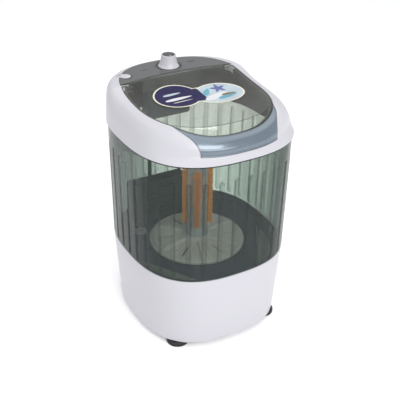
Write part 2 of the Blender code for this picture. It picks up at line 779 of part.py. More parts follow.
def make_drive():
    pulley("driven_pulley", DRIVEN_BELT_RADIUS, 0.012, 0.0, BLACK_PLASTIC)
    pulley("motor_pulley", MOTOR_BELT_RADIUS, 0.0092, MOTOR_Y, ALUMINIUM)
    curve_object("drive_belt", belt_points(), BELT_RADIUS, RUBBER, closed=True, resolution=1)
    nut_low = BELT_Z - 0.009 - CLEARANCE - 0.006
    washer("pulley_nut", SHAFT_RADIUS + 0.0011, 0.0080, nut_low, nut_low + 0.006, STEEL,
           steps=6)

    motor = turned(
        "motor_body",
        ((0.0, MOTOR_TOP_Z - 0.003), (MOTOR_RADIUS - 0.006, MOTOR_TOP_Z - 0.003),
         (MOTOR_RADIUS, MOTOR_TOP_Z - 0.010), (MOTOR_RADIUS, MOTOR_LOW_Z + 0.016),
         (MOTOR_RADIUS - 0.010, MOTOR_LOW_Z + 0.006), (0.014, MOTOR_LOW_Z + 0.004),
         (0.012, MOTOR_LOW_Z), (0.0, MOTOR_LOW_Z)),
        MOTOR_PAINT, (0, MOTOR_Y, 0),
    )
    half = BOLT_SPACING + 0.006
    flange = box(
        "motor_flange", (-half, MOTOR_Y - half, MOTOR_TOP_Z - 0.005),
        (half, MOTOR_Y + half, MOTOR_TOP_Z), None, bevel=0.004, cutter=True,
    )
    join(motor, flange)
    bore = rod("motor_bore_cutter", SHAFT_RADIUS + CLEARANCE, (0, MOTOR_Y, 0.08),
               (0, MOTOR_Y, 0.110), None, cutter=True)
    cut(motor, bore)
    rod("motor_shaft", SHAFT_RADIUS, (0, MOTOR_Y, MOTOR_SHAFT_LOW_Z), (0, MOTOR_Y, 0.1094), STEEL)

    low = MOTOR_TOP_Z + CLEARANCE
    floor = PLATE_Z + PLATE_THICK + CLEARANCE
    reach = BRACKET_LEG_X + 0.003
    bracket = box("motor_bracket", (-reach, MOTOR_Y - half, low),
                  (reach, MOTOR_Y + half, low + BRACKET_THICK), STEEL)
    for side in (-1, 1):
        inner, outer = sorted((side * BRACKET_LEG_X, side * reach))
        leg = box(f"bracket_leg_{side + 1}", (inner, MOTOR_Y - 0.030, floor),
                  (outer, MOTOR_Y + 0.030, low + 0.001), None, cutter=True)
        inner, outer = sorted((side * (BRACKET_LEG_X + 0.001), side * (reach + 0.014)))
        foot = box(f"bracket_foot_{side + 1}", (inner, MOTOR_Y - 0.030, floor),
                   (outer, MOTOR_Y + 0.030, floor + 0.003), None, cutter=True)
        join(bracket, leg, foot)
    for number, (side_x, side_y) in enumerate(((-1, -1), (1, -1), (-1, 1), (1, 1)), 1):
        x, y = side_x * BOLT_SPACING, MOTOR_Y + side_y * BOLT_SPACING
        hole = rod(f"bolt_cutter_{number}", 0.0025 + CLEARANCE, (x, y, 0.13), (x, y, 0.16), None,
                   sides=12, cutter=True)
        cut(motor, hole)
        cut(bracket, hole)
        head = low + BRACKET_THICK + CLEARANCE
        turned(
            f"motor_bolt_{number}",
            ((0.0, head + 0.0035), (0.0046, head + 0.0035), (0.0046, head), (0.0025, head),
             (0.0025, 0.136), (0.0, 0.136)),
            STEEL, (x, y, 0), steps=12,
        )


def make_capacitor():
    x, y, radius = 0.088, -0.050, 0.0165
    floor = PLATE_Z + PLATE_THICK + CLEARANCE
    turned(
        "capacitor",
        ((0.0, floor + 0.062), (radius - 0.002, floor + 0.062), (radius, floor + 0.060),
         (radius, floor + 0.001), (radius - 0.001, floor), (0.0, floor)),
        BLACK_PLASTIC, (x, y, 0), steps=24,
    )
    inner = radius + CLEARANCE
    clamp = washer("capacitor_clamp", inner, inner + 0.0015, 0.040, 0.052, STEEL, (x, y, 0))
    leg = box("clamp_leg", (x + inner + 0.0007, y - 0.006, floor),
              (x + inner + 0.0027, y + 0.006, 0.050), None, cutter=True)
    foot = box("clamp_foot", (x + inner + 0.0010, y - 0.006, floor),
               (x + inner + 0.0160, y + 0.006, floor + 0.002), None, cutter=True)
    join(clamp, leg, foot)


def make_gland():
    """The bushing where the mains cord leaves the back of the base."""
    profile = (
        (0.0070, 0.016), (0.0070, 0.002), (0.0105, 0.002), (0.0105, -0.003), (0.0070, -0.0045),
        (0.0036, -0.0045), (0.0036, 0.016),
    )
    gland = turned("cord_gland", profile, BLACK_PLASTIC, (GLAND_X, 0.1665, GLAND_Z), ring=True,
                   steps=24)
    gland.rotation_euler.x = math.radians(90)


# --- top frame, fascia, panel ------------------------------------------------------------------------
def inlet_outline(extra=0.0, steps=7):
    """The outline round the two ends of the inlet's head, grown by extra, anticlockwise."""
    heading = math.atan2(INLET_FAR[1] - INLET_NEAR[1], INLET_FAR[0] - INLET_NEAR[0])
    ends = (
        (INLET_FAR, INLET_FAR_RADIUS + extra, heading - math.pi / 2),
        (INLET_NEAR, INLET_RADIUS + extra, heading + math.pi / 2),
    )
    outline = []
    for middle, radius, start in ends:
        for step in range(steps + 1):
            angle = start + math.pi * step / steps
            outline.append(
                (middle[0] + radius * math.cos(angle), middle[1] + radius * math.sin(angle))
            )
    return outline


def skirt_low_z(angle):
    """The skirt's lower edge at one angle: deep behind and at the sides, shallow at the front."""
    front = smoothstep(-0.15, 0.55, -math.sin(angle))
    return SKIRT_LOW_Z + (SKIRT_FRONT_Z - SKIRT_LOW_Z) * front


def frame_section(angle):
    """The closed section of the top frame at one angle: outer skin, rebate, lip, inner skin."""
    outward = Vector((math.cos(angle), math.sin(angle), 0))
    front = smoothstep(0.45, 0.75, -math.sin(angle))
    wall = FRAME_WALL + (FRAME_FRONT_WALL - FRAME_WALL) * front
    outer = [frame_point(angle, step / 7) for step in range(8)]
    edge = outer[-1]
    ledge_x, ledge_y = opening_point(angle, LEDGE_WIDTH)
    ledge_z = edge.z - REBATE_DEPTH
    back_x, back_y = opening_point(angle, LEDGE_WIDTH - 0.0024)
    rebate = [
        (edge.x - outward.x * 0.0002, edge.y - outward.y * 0.0002, ledge_z),
        (ledge_x, ledge_y, ledge_z),
        (ledge_x, ledge_y, ledge_z - LIP_HEIGHT),
        (back_x, back_y, ledge_z - LIP_HEIGHT),
        (back_x, back_y, ledge_z - 0.0026),
    ]
    inner = []
    for share in (0.96, 0.72, 0.45, 0.2):
        point = frame_point(angle, share) - frame_normal(angle, share) * wall
        point.z = min(point.z, ledge_z - 0.0028)
        inner.append(point)
    inner[0].x = edge.x - outward.x * 0.0004
    inner[0].y = edge.y - outward.y * 0.0004
    skirt_half = TUB_TOP_HALF - TUB_WALL - 0.0010
    skirt = plan_radius(angle, skirt_half, skirt_half * PLAN_RATIO, PLAN_POWER)
    thin = skirt - 0.0022
    inner += [
        (outward.x * thin, outward.y * thin, TUB_TOP_Z + 0.0030),
        (outward.x * thin, outward.y * thin, skirt_low_z(angle)),
        (outward.x * skirt, outward.y * skirt, skirt_low_z(angle)),
        (outward.x * skirt, outward.y * skirt, RIM_Z),
    ]
    return outer + rebate + inner


FASCIA_LOW = 0.21           # where the fascia starts and ends, as shares of the frame's rise
FASCIA_HIGH = 0.985


def fascia_side(rise):
    """Half angle of the fascia about the front, widening from its foot to the lid."""
    share = (rise - FASCIA_LOW) / (1 - FASCIA_LOW)
    return math.radians(27 + 18 * max(share, 0.0) ** 2.2)


def fascia_patch(name, surface, rises, extra, near, far, cutter=False):
    """The part of the frame's surface that the fascia covers, from near to far off it."""
    across = 14
    layers = []
    for outward in (near, far):
        rows = []
        for rise in rises:
            half = fascia_side(min(rise, 1.0)) + extra
            rows.append(
                [
                    frame_offset(-math.pi / 2 + half * (2 * column / across - 1), rise, outward)
                    for column in range(across + 1)
                ]
            )
        layers.append(rows)
    rings = []
    for column in range(across + 1):
        ring = [rows[column] for rows in layers[0]]
        ring += [rows[column] for rows in reversed(layers[1])]
        rings.append(ring)
    count = len(rings[0])
    faces = grid_faces(across + 1, count)
    faces.append(tuple(range(count)))
    faces.append(tuple(across * count + step for step in reversed(range(count))))
    made = mesh_object(name, [point for ring in rings for point in ring], faces, surface, cutter)
    return fix_normals(made)


def fix_normals(made):
    """Splits a lofted solid's quads the same way throughout and turns its faces outwards."""
    shape = bmesh.new()
    shape.from_mesh(made.data)
    bmesh.ops.triangulate(shape, faces=shape.faces, quad_method="FIXED")
    bmesh.ops.recalc_face_normals(shape, faces=shape.faces)
    if shape.calc_volume(signed=True) < 0:
        bmesh.ops.reverse_faces(shape, faces=shape.faces)
    shape.to_mesh(made.data)
    shape.free()
    return made


def make_top_frame():
    sections = [frame_section(angle) for angle in plan_angles()]
    points = [point for section in sections for point in section]
    faces = grid_faces(len(sections), len(sections[0]), rows_close=True)
    frame = fix_normals(mesh_object("top_frame", points, faces, WHITE))

    def deck_gauge(x, y):
        return opening_gauge(x, y, LEDGE_WIDTH - 0.003) if y > DECK_FRONT_Y else 2.0

    curved = [point for point in outline_ring(deck_gauge, 0.140) if point[1] > DECK_FRONT_Y + 0.001]
    curved.sort(key=lambda point: math.atan2(point[1] - DECK_FRONT_Y, point[0]))
    reach = max(abs(point[0]) for point in curved)
    outline = [(reach, DECK_FRONT_Y), *curved, (-reach, DECK_FRONT_Y)]
    join(
        frame,
        plate("panel_deck", outline, DECK_TOP_Z - DECK_THICK, DECK_TOP_Z, None, cutter=True),
    )
    for side in (-1, 1):
        inner, outer = sorted((side * BOSS_INNER_X, side * (PIN_OUTER_X + 0.002)))
        boss = box(f"pin_boss_{side + 1}", (inner, HINGE_Y - 0.0045, 0.5060),
                   (outer, HINGE_Y + 0.0035, PANEL_TOP_Z - 0.0008), None, cutter=True)
        join(frame, boss)
        bore = rod(f"pin_bore_{side + 1}", PIN_RADIUS + CLEARANCE, (side * 0.11, HINGE_Y, HINGE_Z),
                   (side * (PIN_OUTER_X + CLEARANCE), HINGE_Y, HINGE_Z), None, sides=16,
                   cutter=True)
        cut(frame, bore)
    rises = [FASCIA_LOW + (FASCIA_HIGH - FASCIA_LOW) * row / 7 for row in range(8)]
    seat_rises = [FASCIA_LOW - 0.006, *rises[1:], 1.0, 1.12]
    seat = fascia_patch("fascia_seat", None, seat_rises, 0.006, -0.0031, 0.004, cutter=True)
    inlet = plate("inlet_seat", inlet_outline(CLEARANCE), 0.48, 0.53, None, cutter=True)
    stem = rod("timer_stem_hole", STEM_HOLE_RADIUS, (KNOB_X, KNOB_Y, 0.50),
               (KNOB_X, KNOB_Y, 0.52), None, cutter=True)
    cut(frame, seat, inlet, stem)

    fascia_patch("front_fascia", FASCIA_BLUE, rises, -0.003, -0.0020, 0.0)


def make_panel():
    def panel_gauge(x, y):
        edge = opening_gauge(x, y, 0.0006)
        front = 1 + (hinge_line_y(x) + HINGE_GAP - y) / 0.06
        return (edge**60 + max(front, 0.0) ** 60) ** (1 / 60)

    outline = outline_ring(panel_gauge, 0.143, 60)
    low = PANEL_TOP_Z - PANEL_THICK
    panel = plate("control_panel", outline, low, PANEL_TOP_Z, PANEL_GREY)
    dish = rod("dish_cutter", KNOB_DISH_RADIUS, (KNOB_X, KNOB_Y, PANEL_TOP_Z - KNOB_DISH_DEPTH),
               (KNOB_X, KNOB_Y, 0.53), None, sides=24, cutter=True)
    stem = rod("panel_stem_hole", STEM_HOLE_RADIUS, (KNOB_X, KNOB_Y, 0.50),
               (KNOB_X, KNOB_Y, 0.53), None, cutter=True)
    notch = plate("panel_notch", inlet_outline(0.0006), 0.50, 0.53, None, cutter=True)
    cut(panel, dish, stem, notch)


def make_inlet():
    """The white fitting that the fill hose is pushed into."""
    head = plate("water_inlet", inlet_outline(), 0.5065, INLET_TOP_Z, WHITE)
    round_edges(head, 0.0012)
    x, y = INLET_FAR
    spout = rod("inlet_spout", 0.0062, (x, y, 0.486), (x, y, 0.510), None, sides=24, cutter=True)
    bore = rod("inlet_bore", INLET_BORE, (x, y, 0.47), (x, y, 0.53), None, sides=24, cutter=True)
    join(head, spout)
    cut(head, bore)


def make_timer():
    panel_floor = PANEL_TOP_Z - KNOB_DISH_DEPTH
    low = panel_floor + 0.0005
    hole = TIMER_SHAFT_RADIUS + CLEARANCE
    centre = (KNOB_X, KNOB_Y, 0)
    turned(
        "timer_knob",
        ((0.0, KNOB_TOP_Z - 0.0012), (KNOB_TOP_RADIUS - 0.0020, KNOB_TOP_Z - 0.0012),
         (KNOB_TOP_RADIUS - 0.0018, KNOB_TOP_Z),
         (KNOB_TOP_RADIUS - 0.0006, KNOB_TOP_Z), (KNOB_TOP_RADIUS, KNOB_TOP_Z - 0.0010),
         (0.0188, low + 0.0070), (KNOB_RADIUS - 0.0008, low + 0.0026), (KNOB_RADIUS, low + 0.001),
         (KNOB_RADIUS, low), (hole, low), (hole, KNOB_TOP_Z - 0.011), (0.0, KNOB_TOP_Z - 0.011)),
        WHITE, centre, steps=24,
    )
    turned(
        "knob_cap",
        ((0.0, KNOB_TOP_Z - 0.0002), (KNOB_TOP_RADIUS - 0.0026, KNOB_TOP_Z - 0.0002),
         (KNOB_TOP_RADIUS - 0.0025, KNOB_TOP_Z - 0.0008), (0.0, KNOB_TOP_Z - 0.0008)),
        PANEL_GREY, centre, steps=24,
    )
    rod("timer_shaft", TIMER_SHAFT_RADIUS, (KNOB_X, KNOB_Y, TIMER_SHAFT_LOW_Z),
        (KNOB_X, KNOB_Y, KNOB_TOP_Z - 0.0115), STEEL, sides=16)
    top = DECK_TOP_Z - DECK_THICK - CLEARANCE
    body = box("timer_body", (KNOB_X - 0.022, KNOB_Y - 0.019, top - 0.024),
               (KNOB_X + 0.022, KNOB_Y + 0.012, top), BLACK_PLASTIC, bevel=0.002)
    bore = rod("timer_bore", hole, (KNOB_X, KNOB_Y, 0.497), (KNOB_X, KNOB_Y, 0.52), None, sides=16,
               cutter=True)
    cut(body, bore)

    cover = box("timer_cover", (-0.070, 0.1145, COVER_FLOOR_Z), (0.070, 0.1600, top), PANEL_GREY)
    hollow = box("cover_cutter", (-0.068, 0.1165, COVER_FLOOR_Z + 0.002), (0.068, 0.1580, 0.52),
                 None, cutter=True)
    wires = box("wire_cutter", (-0.030, 0.1470, 0.47), (0.030, 0.1560, 0.49), None, cutter=True)
    cut(cover, hollow, wires)


# --- lid -----------------------------------------------------------------------------------------------
def lid_gauge(x, y):
    edge = opening_gauge(x, y, LID_GAP)
    back = 1 + (y - hinge_line_y(x)) / 0.1
    return (edge**40 + max(back, 0.0) ** 40) ** (1 / 40)


def closed_loft(name, rings, first_middle, last_middle, surface):
    """A solid through closed rings, with a fan of triangles over its first and last ring."""
    count = len(rings[0])
    points = [point for ring in rings for point in ring] + [first_middle, last_middle]
    faces = grid_faces(len(rings), count)
    last = (len(rings) - 1) * count
    for step in range(count):
        following = (step + 1) % count
        faces.append((following, step, len(points) - 2))
        faces.append((last + step, last + following, len(points) - 1))
    return fix_normals(mesh_object(name, points, faces, surface))


def lid_ring(outline, middle_y, inset, flare, drop, skirt_drop):
    """The lid's outline moved inwards and below its top surface, further where the skirt is."""
    ring = []
    for x, y in outline:
        share = skirt_share(x, y)
        reach = math.hypot(x, y - middle_y)
        scale = (reach - inset - flare * share) / reach
        inner_x, inner_y = x * scale, middle_y + (y - middle_y) * scale
        ring.append((inner_x, inner_y, lid_surface_z(inner_y) - drop - skirt_drop * share))
    return ring


def make_lid():
    middle_y = -0.010
    outline = outline_ring(lid_gauge, middle_y, 60)

    def flat_ring(share, drop):
        ring = []
        for x, y in outline:
            across, along = x * share, middle_y + (y - middle_y) * share
            ring.append((across, along, lid_surface_z(along) - drop))
        return ring

    inner_flare = SKIRT_FLARE + 0.0012
    rings = [
        flat_ring(0.45, 0.0),
        flat_ring(0.78, 0.0),
        lid_ring(outline, middle_y, 0.0012, SKIRT_FLARE, 0.0, 0.0),
        lid_ring(outline, middle_y, 0.0003, SKIRT_FLARE * 0.42, 0.0004, SKIRT_DROP * 0.34),
        lid_ring(outline, middle_y, 0.0, 0.0, 0.0010, SKIRT_DROP),
        lid_ring(outline, middle_y, 0.0002, 0.0019, LID_THICK, SKIRT_DROP - 0.0008),
        lid_ring(outline, middle_y, 0.0008, inner_flare * 0.50, LID_THICK, SKIRT_DROP * 0.34),
        lid_ring(outline, middle_y, 0.0022, inner_flare, LID_THICK, 0.0),
        flat_ring(0.78, LID_THICK),
        flat_ring(0.45, LID_THICK),
    ]
    top = lid_surface_z(middle_y)
    lid = closed_loft(
        "lid", rings, (0, middle_y, top), (0, middle_y, top - LID_THICK), LID_SMOKE
    )
    for side in (-1, 1):
        inner, outer = sorted((side * 0.1108, side * 0.1205))
        ear = box(f"lid_ear_{side + 1}", (inner, HINGE_Y - 0.0038, HINGE_Z - 0.0034),
                  (outer, HINGE_Y + 0.0030, PANEL_TOP_Z - 0.0010), None, cutter=True)
        join(lid, ear)
        bore = rod(f"ear_bore_{side + 1}", PIN_RADIUS + CLEARANCE,
                   (side * (PIN_INNER_X - CLEARANCE), HINGE_Y, HINGE_Z),
                   (side * 0.135, HINGE_Y, HINGE_Z), None, sides=16, cutter=True)
        cut(lid, bore)
        name = "left" if side < 0 else "right"
        rod(f"lid_hinge_pin_{name}", PIN_RADIUS, (side * PIN_INNER_X, HINGE_Y, HINGE_Z),
            (side * PIN_OUTER_X, HINGE_Y, HINGE_Z), STEEL, sides=12)
    set_origin(lid, (0, HINGE_Y, HINGE_Z))


def label_gauge(x, y):
    """Two ovals run together, the shape of the label on the lid."""
    left = math.hypot((x + 0.043) / 0.049, (y - 0.012) / 0.047)
    right = math.hypot((x - 0.041) / 0.056, (y + 0.007) / 0.043)
    waist = math.hypot((x - 0.003) / 0.040, (y - 0.002) / 0.030)
    return min(left, right, waist)


def make_label():
    outline = outline_ring(label_gauge, -0.003, 36)
    lift = 0.0008
    rings = [
        [
            (x * share, -0.003 + (y + 0.003) * share,
             lid_surface_z(-0.003 + (y + 0.003) * share) + lift)
            for x, y in outline
        ]
        for share in (0.55, 1.0)
    ]
    label = skin("lid_label", rings, LABEL_BLUE, 0.0003, offset=1.0,
                 middle=(0, -0.003, lid_surface_z(-0.003) + lift))
    fix_normals(label)
    set_origin(label, (0, HINGE_Y, HINGE_Z))


def put_origins_on_axes():
    """Spinning pieces that stand off the machine's middle get their origin on their own axis."""
    set_origin(bpy.data.objects["motor_shaft"], (0, MOTOR_Y, MOTOR_SHAFT_LOW_Z))
    set_origin(bpy.data.objects["timer_shaft"], (KNOB_X, KNOB_Y, TIMER_SHAFT_LOW_Z))


make_base()
make_feet()
make_tub()
make_drain()
make_rear_wall_pieces()
make_pulsator()
make_brush_column()
make_shaft_and_bearings()
make_drive()
make_capacitor()
make_gland()
make_top_frame()
make_panel()
make_inlet()
make_timer()
make_lid()
make_label()
put_origins_on_axes()
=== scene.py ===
"""The looks of a mini top-load washing machine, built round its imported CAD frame.

Metres, +Z up, the front faces -Y. Each shell is built here again from the same sections as the CAD,
with finer steps, ribs, rounded edges and the marks of moulding. Everything inside keeps its CAD
solid and gets a material of its own.
"""
from math import atan2, cos, dist, exp, hypot, pi, radians, sin, sqrt

import bmesh
import bpy
from mathutils import Matrix, Vector


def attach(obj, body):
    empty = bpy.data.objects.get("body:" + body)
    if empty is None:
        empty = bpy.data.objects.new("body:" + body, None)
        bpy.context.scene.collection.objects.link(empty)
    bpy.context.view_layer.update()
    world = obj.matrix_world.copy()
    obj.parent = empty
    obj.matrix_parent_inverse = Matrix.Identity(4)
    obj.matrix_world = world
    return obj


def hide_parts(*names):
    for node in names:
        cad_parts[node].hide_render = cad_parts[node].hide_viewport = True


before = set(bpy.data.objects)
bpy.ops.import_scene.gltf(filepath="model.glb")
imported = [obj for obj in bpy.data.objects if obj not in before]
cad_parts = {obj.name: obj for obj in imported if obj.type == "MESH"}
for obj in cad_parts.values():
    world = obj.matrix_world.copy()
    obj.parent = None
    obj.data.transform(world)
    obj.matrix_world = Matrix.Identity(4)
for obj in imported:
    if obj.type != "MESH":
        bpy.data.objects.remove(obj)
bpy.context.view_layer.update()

# --- driving dimensions, the same as the CAD's ---
CLEARANCE = 0.0004
PLAN_POWER = 2.64
PLAN_RATIO = 1.059

BASE_BOTTOM_Z = 0.0108
BASE_TOP_Z = 0.1802
BASE_BOTTOM_HALF = 0.1577
BASE_TOP_HALF = 0.1682
BASE_WALL = 0.003

TUB_FLOOR_Z = 0.1575
TUB_TOP_Z = 0.4440
TUB_TOP_HALF = 0.1722
TUB_WALL = 0.0026
SHAFT_HOLE = 0.0142

RIM_Z = 0.4446
RIM_HALF = 0.1750
FRAME_WALL = 0.0026
FRAME_FRONT_WALL = 0.0054
SKIRT_LOW_Z = 0.418
SKIRT_FRONT_Z = 0.440
SKIRT_HALF = TUB_TOP_HALF - TUB_WALL - 0.0010
SKIRT_WALL = 0.0022
OPENING_HALF = 0.1365
OPENING_MIDDLE_Y = 0.018
OPENING_FRONT = 0.168
OPENING_BACK = 0.162
OPENING_FRONT_POWER = 2.5
OPENING_BACK_POWER = 2.7
REBATE_DEPTH = 0.0036
LEDGE_WIDTH = 0.0072
LIP_HEIGHT = 0.010

LID_FRONT_Z = 0.5020
PANEL_TOP_Z = 0.5165
LID_RISE_POWER = 2.6
LID_RISE_FROM_Y = -0.050
LID_THICK = 0.0022
LID_GAP = 0.0008
LID_OVER_EDGE = 0.0003  # the opening's edge stands this far below the lid's top surface
LID_MIDDLE_Y = -0.010
SKIRT_DROP = 0.016
SKIRT_FLARE = 0.011
SKIRT_HALF_WIDTH = 0.112
HINGE_LINE_Y = 0.106
HINGE_LINE_SAG = 0.015
HINGE_LINE_HALF = 0.121
HINGE_GAP = 0.0020
HINGE_Y = 0.090
HINGE_Z = 0.5136
PIN_RADIUS = 0.0015
PIN_BORE_RADIUS = PIN_RADIUS + CLEARANCE

PANEL_THICK = 0.0031
KNOB_X = 0.005
KNOB_Y = 0.142
KNOB_AT = (KNOB_X, KNOB_Y)
KNOB_RADIUS = 0.0225
KNOB_TOP_RADIUS = 0.0155
KNOB_TOP_Z = 0.5420
KNOB_DISH_DEPTH = 0.0012
KNOB_DISH_RADIUS = 0.027
DISH_Z = PANEL_TOP_Z - KNOB_DISH_DEPTH
STEM_HOLE_RADIUS = 0.006
DECK_FRONT_Y = 0.110
DECK_TOP_Z = PANEL_TOP_Z - LID_OVER_EDGE - REBATE_DEPTH - 0.0001
DECK_THICK = 0.0024

INLET_NEAR = (-0.1015, 0.1275)
INLET_FAR = (-0.1115, 0.1365)
INLET_RADIUS = 0.0105
INLET_FAR_RADIUS = 0.0070
INLET_BORE = 0.0035
INLET_TOP_Z = 0.5180

PULSATOR_RADIUS = 0.104
PULSATOR_RIM_Z = 0.1660
BRISTLE_LOW_Z = 0.204
BRISTLE_HIGH_Z = 0.338
BRISTLE_REACH = 0.033
FIRST_BRISTLE_DEG = 60.0
DRAIN_X = -0.096
DRAIN_Y = 0.086
DRAIN_RADIUS = 0.009
DRAIN_OUT_Z = 0.046
GLAND_X = 0.070
GLAND_Z = 0.040
GLAND_HOLE_RADIUS = 0.0074
FOOT_X = 0.108
FOOT_Y = 0.114
FOOT_RADIUS = 0.024

FRONT_SECTION = ((0, 0), (0.33, 0.26), (0.41, 0.58), (0.59, 0.83), (0.79, 0.96), (1, 1))
SIDE_SECTION = ((0, 0), (0.10, 0.22), (0.19, 0.47), (0.36, 0.71), (0.62, 0.90), (1, 1))
BACK_SECTION = ((0, 0), (0.02, 0.35), (0.05, 0.65), (0.15, 0.88), (0.45, 0.985), (1, 1))
FASCIA_LOW = 0.21
FASCIA_HIGH = 0.985
FASCIA_THICK = 0.0020
FASCIA_SEAT_DEPTH = 0.0031

# --- finer steps, marks, looks and stage ---
PLAN_STEPS = 224  # points round the white shells
HALVINGS = 30  # steps of the search for a point of an outline
SHARP_DEG = 32  # edges that bend by more than this stay sharp
RIB_COUNT = 36  # upright ribs pressed into the tub's wall
# The mesh's columns about each rib, in half widths of the rib.
RIB_COLUMNS = (-2.55, -2.1, -1.6, -1.2, -1.0, -0.88, -0.68, -0.42, -0.14,
               0.14, 0.42, 0.68, 0.88, 1.0, 1.2, 1.6, 2.1)
RIB_HALF = 0.0058  # half width of a rib, along the wall
RIB_DEPTH = 0.0023
RIB_LOW_Z = 0.186
RIB_HIGH_Z = 0.406
GAP_LINE_LOW_Z = 0.4414  # the painted shadow line under the frame's rim
PAN_SLOPE = 0.010  # how far in the pan's wall meets its floor
INNER_SHARES = (0.84, 0.72, 0.58, 0.45, 0.32, 0.2)  # rises of the frame's inner skin
MARK_LOW_Z = PANEL_TOP_Z + 0.00005
MARK_HIGH_Z = PANEL_TOP_Z + 0.00020
TICK_COUNT = 13
TICK_STEP_DEG = 25
FIRST_TICK_DEG = 240
TICK_BACK_Y = 0.176  # ticks that would pass the panel's back edge are left out
LABEL_THICK = 0.00015
VANE_COUNT = 6
VANE_HALF = 0.0052
VANE_HEIGHT = 0.0058
FINE_RIB_COUNT = 48
TUFTS = 16  # in each bristle row
STRANDS = 26  # in each tuft
STRAND_RADIUS = 0.00055
KNOB_FLUTES = 20
GOLDEN_ANGLE = 2.399963  # in radians, it spreads the strands evenly
SPIKE_FACES = ((0, 1, 5, 4), (1, 2, 6, 5), (2, 3, 7, 6), (3, 0, 4, 7), (3, 2, 1, 0), (4, 5, 6, 7))

WHITE_SHELL = (0.508, 0.501, 0.536)
SMOKE_HAZE = (0.17, 0.22, 0.21)
LENS_MM = 72.81
CAMERA_AT = (-0.74155, -1.29791, 1.15167)
CAMERA_TURNS = ((-29.96, "Z"), (59.2, "X"), (1.12, "Z"))
AIM_Z = 0.30  # height that the lights point at
WORLD_STRENGTH = 0.72
FLOOR_GLOW = 0.14
FLOOR_REACH = 12.0


# --- materials ---
class Nodes:
    """Builds a material's node tree with little writing."""

    def __init__(self, name):
        self.material = bpy.data.materials.new(name)
        self.material.use_nodes = True
        self.tree = self.material.node_tree
        self.tree.nodes.clear()
        self.coordinates = self.add("TexCoord").outputs["Object"]

    def put(self, socket, value):
        if isinstance(value, bpy.types.NodeSocket):
            self.tree.links.new(value, socket)
        else:
            socket.default_value = value

    def add(self, kind, **sockets):
        node = self.tree.nodes.new("ShaderNode" + kind)
        for name, value in sockets.items():
            self.put(node.inputs[name.replace("_", " ")], value)
        return node

    def noise(self, scale, stretch=(1, 1, 1), detail=3.0):
        at = self.add("Mapping", Vector=self.coordinates, Scale=stretch).outputs["Vector"]
        return self.add("TexNoise", Vector=at, Scale=scale, Detail=detail).outputs["Fac"]

    def span(self, value, low, high, start=0.3, end=0.7):
        made = self.add("MapRange", Value=value, From_Min=start, From_Max=end, To_Min=low,
                        To_Max=high)
        return made.outputs["Result"]

    def power(self, value, exponent):
        made = self.add("Math")
        made.operation = "POWER"
        self.put(made.inputs[0], value)
        self.put(made.inputs[1], exponent)
        return made.outputs[0]

    def mixed(self, share, first, second):
        made = self.add("MixShader")
        for socket, value in zip(made.inputs, (share, first.outputs[0], second.outputs[0])):
            self.put(socket, value)
        return made

    def blend(self, share, first, second):
        """A colour between two, each a tuple or another node's output."""
        made = self.add("Mix")
        made.data_type = "RGBA"
        self.put(made.inputs["Factor"], share)
        sockets = [item for item in made.inputs if item.type == "RGBA"]
        for socket, value in zip(sockets, (first, second)):
            self.put(socket, (*value, 1.0) if isinstance(value, tuple) else value)
        return [item for item in made.outputs if item.type == "RGBA"][0]

    def bump(self, height, distance, strength=1.0):
        made = self.add("Bump", Height=height, Distance=distance, Strength=strength)
        return made.outputs["Normal"]

    def finish(self, shader):
        self.put(self.add("OutputMaterial").inputs["Surface"], shader)
        return self.material


def shade(colour, amount):
    return tuple(min(1.0, channel * amount) for channel in colour)


def moulded(name, colour, roughness, spread=0.06, grain=0.00004, grain_scale=900, coat=0.0,
            blotch_scale=9, metallic=0.0, gloss_spread=1.0, specular=0.5):
    """Moulded plastic or coated metal: faint blotches, a fine grain and uneven gloss."""
    nodes = Nodes(name)
    blotches = nodes.span(nodes.noise(blotch_scale), 0, 1)
    tint = nodes.blend(blotches, shade(colour, 1 - spread), shade(colour, 1 + spread))
    gloss = nodes.span(nodes.noise(blotch_scale * 4), roughness * (1 - 0.15 * gloss_spread),
                       roughness * (1 + 0.2 * gloss_spread))
    normal = nodes.bump(nodes.noise(grain_scale, detail=2.0), grain)
    shader = nodes.add("BsdfPrincipled", Base_Color=tint, Roughness=gloss, Normal=normal,
                       Metallic=metallic, Specular_IOR_Level=specular, Coat_Weight=coat,
                       Coat_Roughness=0.12)
    return nodes.finish(shader.outputs["BSDF"])


def brushed(name, colour, roughness, stretch=(1, 1, 14)):
    """Bare metal with fine marks along one direction."""
    nodes = Nodes(name)
    marks = nodes.noise(420, stretch)
    tint = nodes.blend(nodes.span(marks, 0, 1), shade(colour, 0.86), shade(colour, 1.08))
    gloss = nodes.span(marks, roughness * 0.8, roughness * 1.35)
    shader = nodes.add("BsdfPrincipled", Base_Color=tint, Roughness=gloss,
                       Normal=nodes.bump(marks, 0.00003), Metallic=1.0)
    return nodes.finish(shader.outputs["BSDF"])


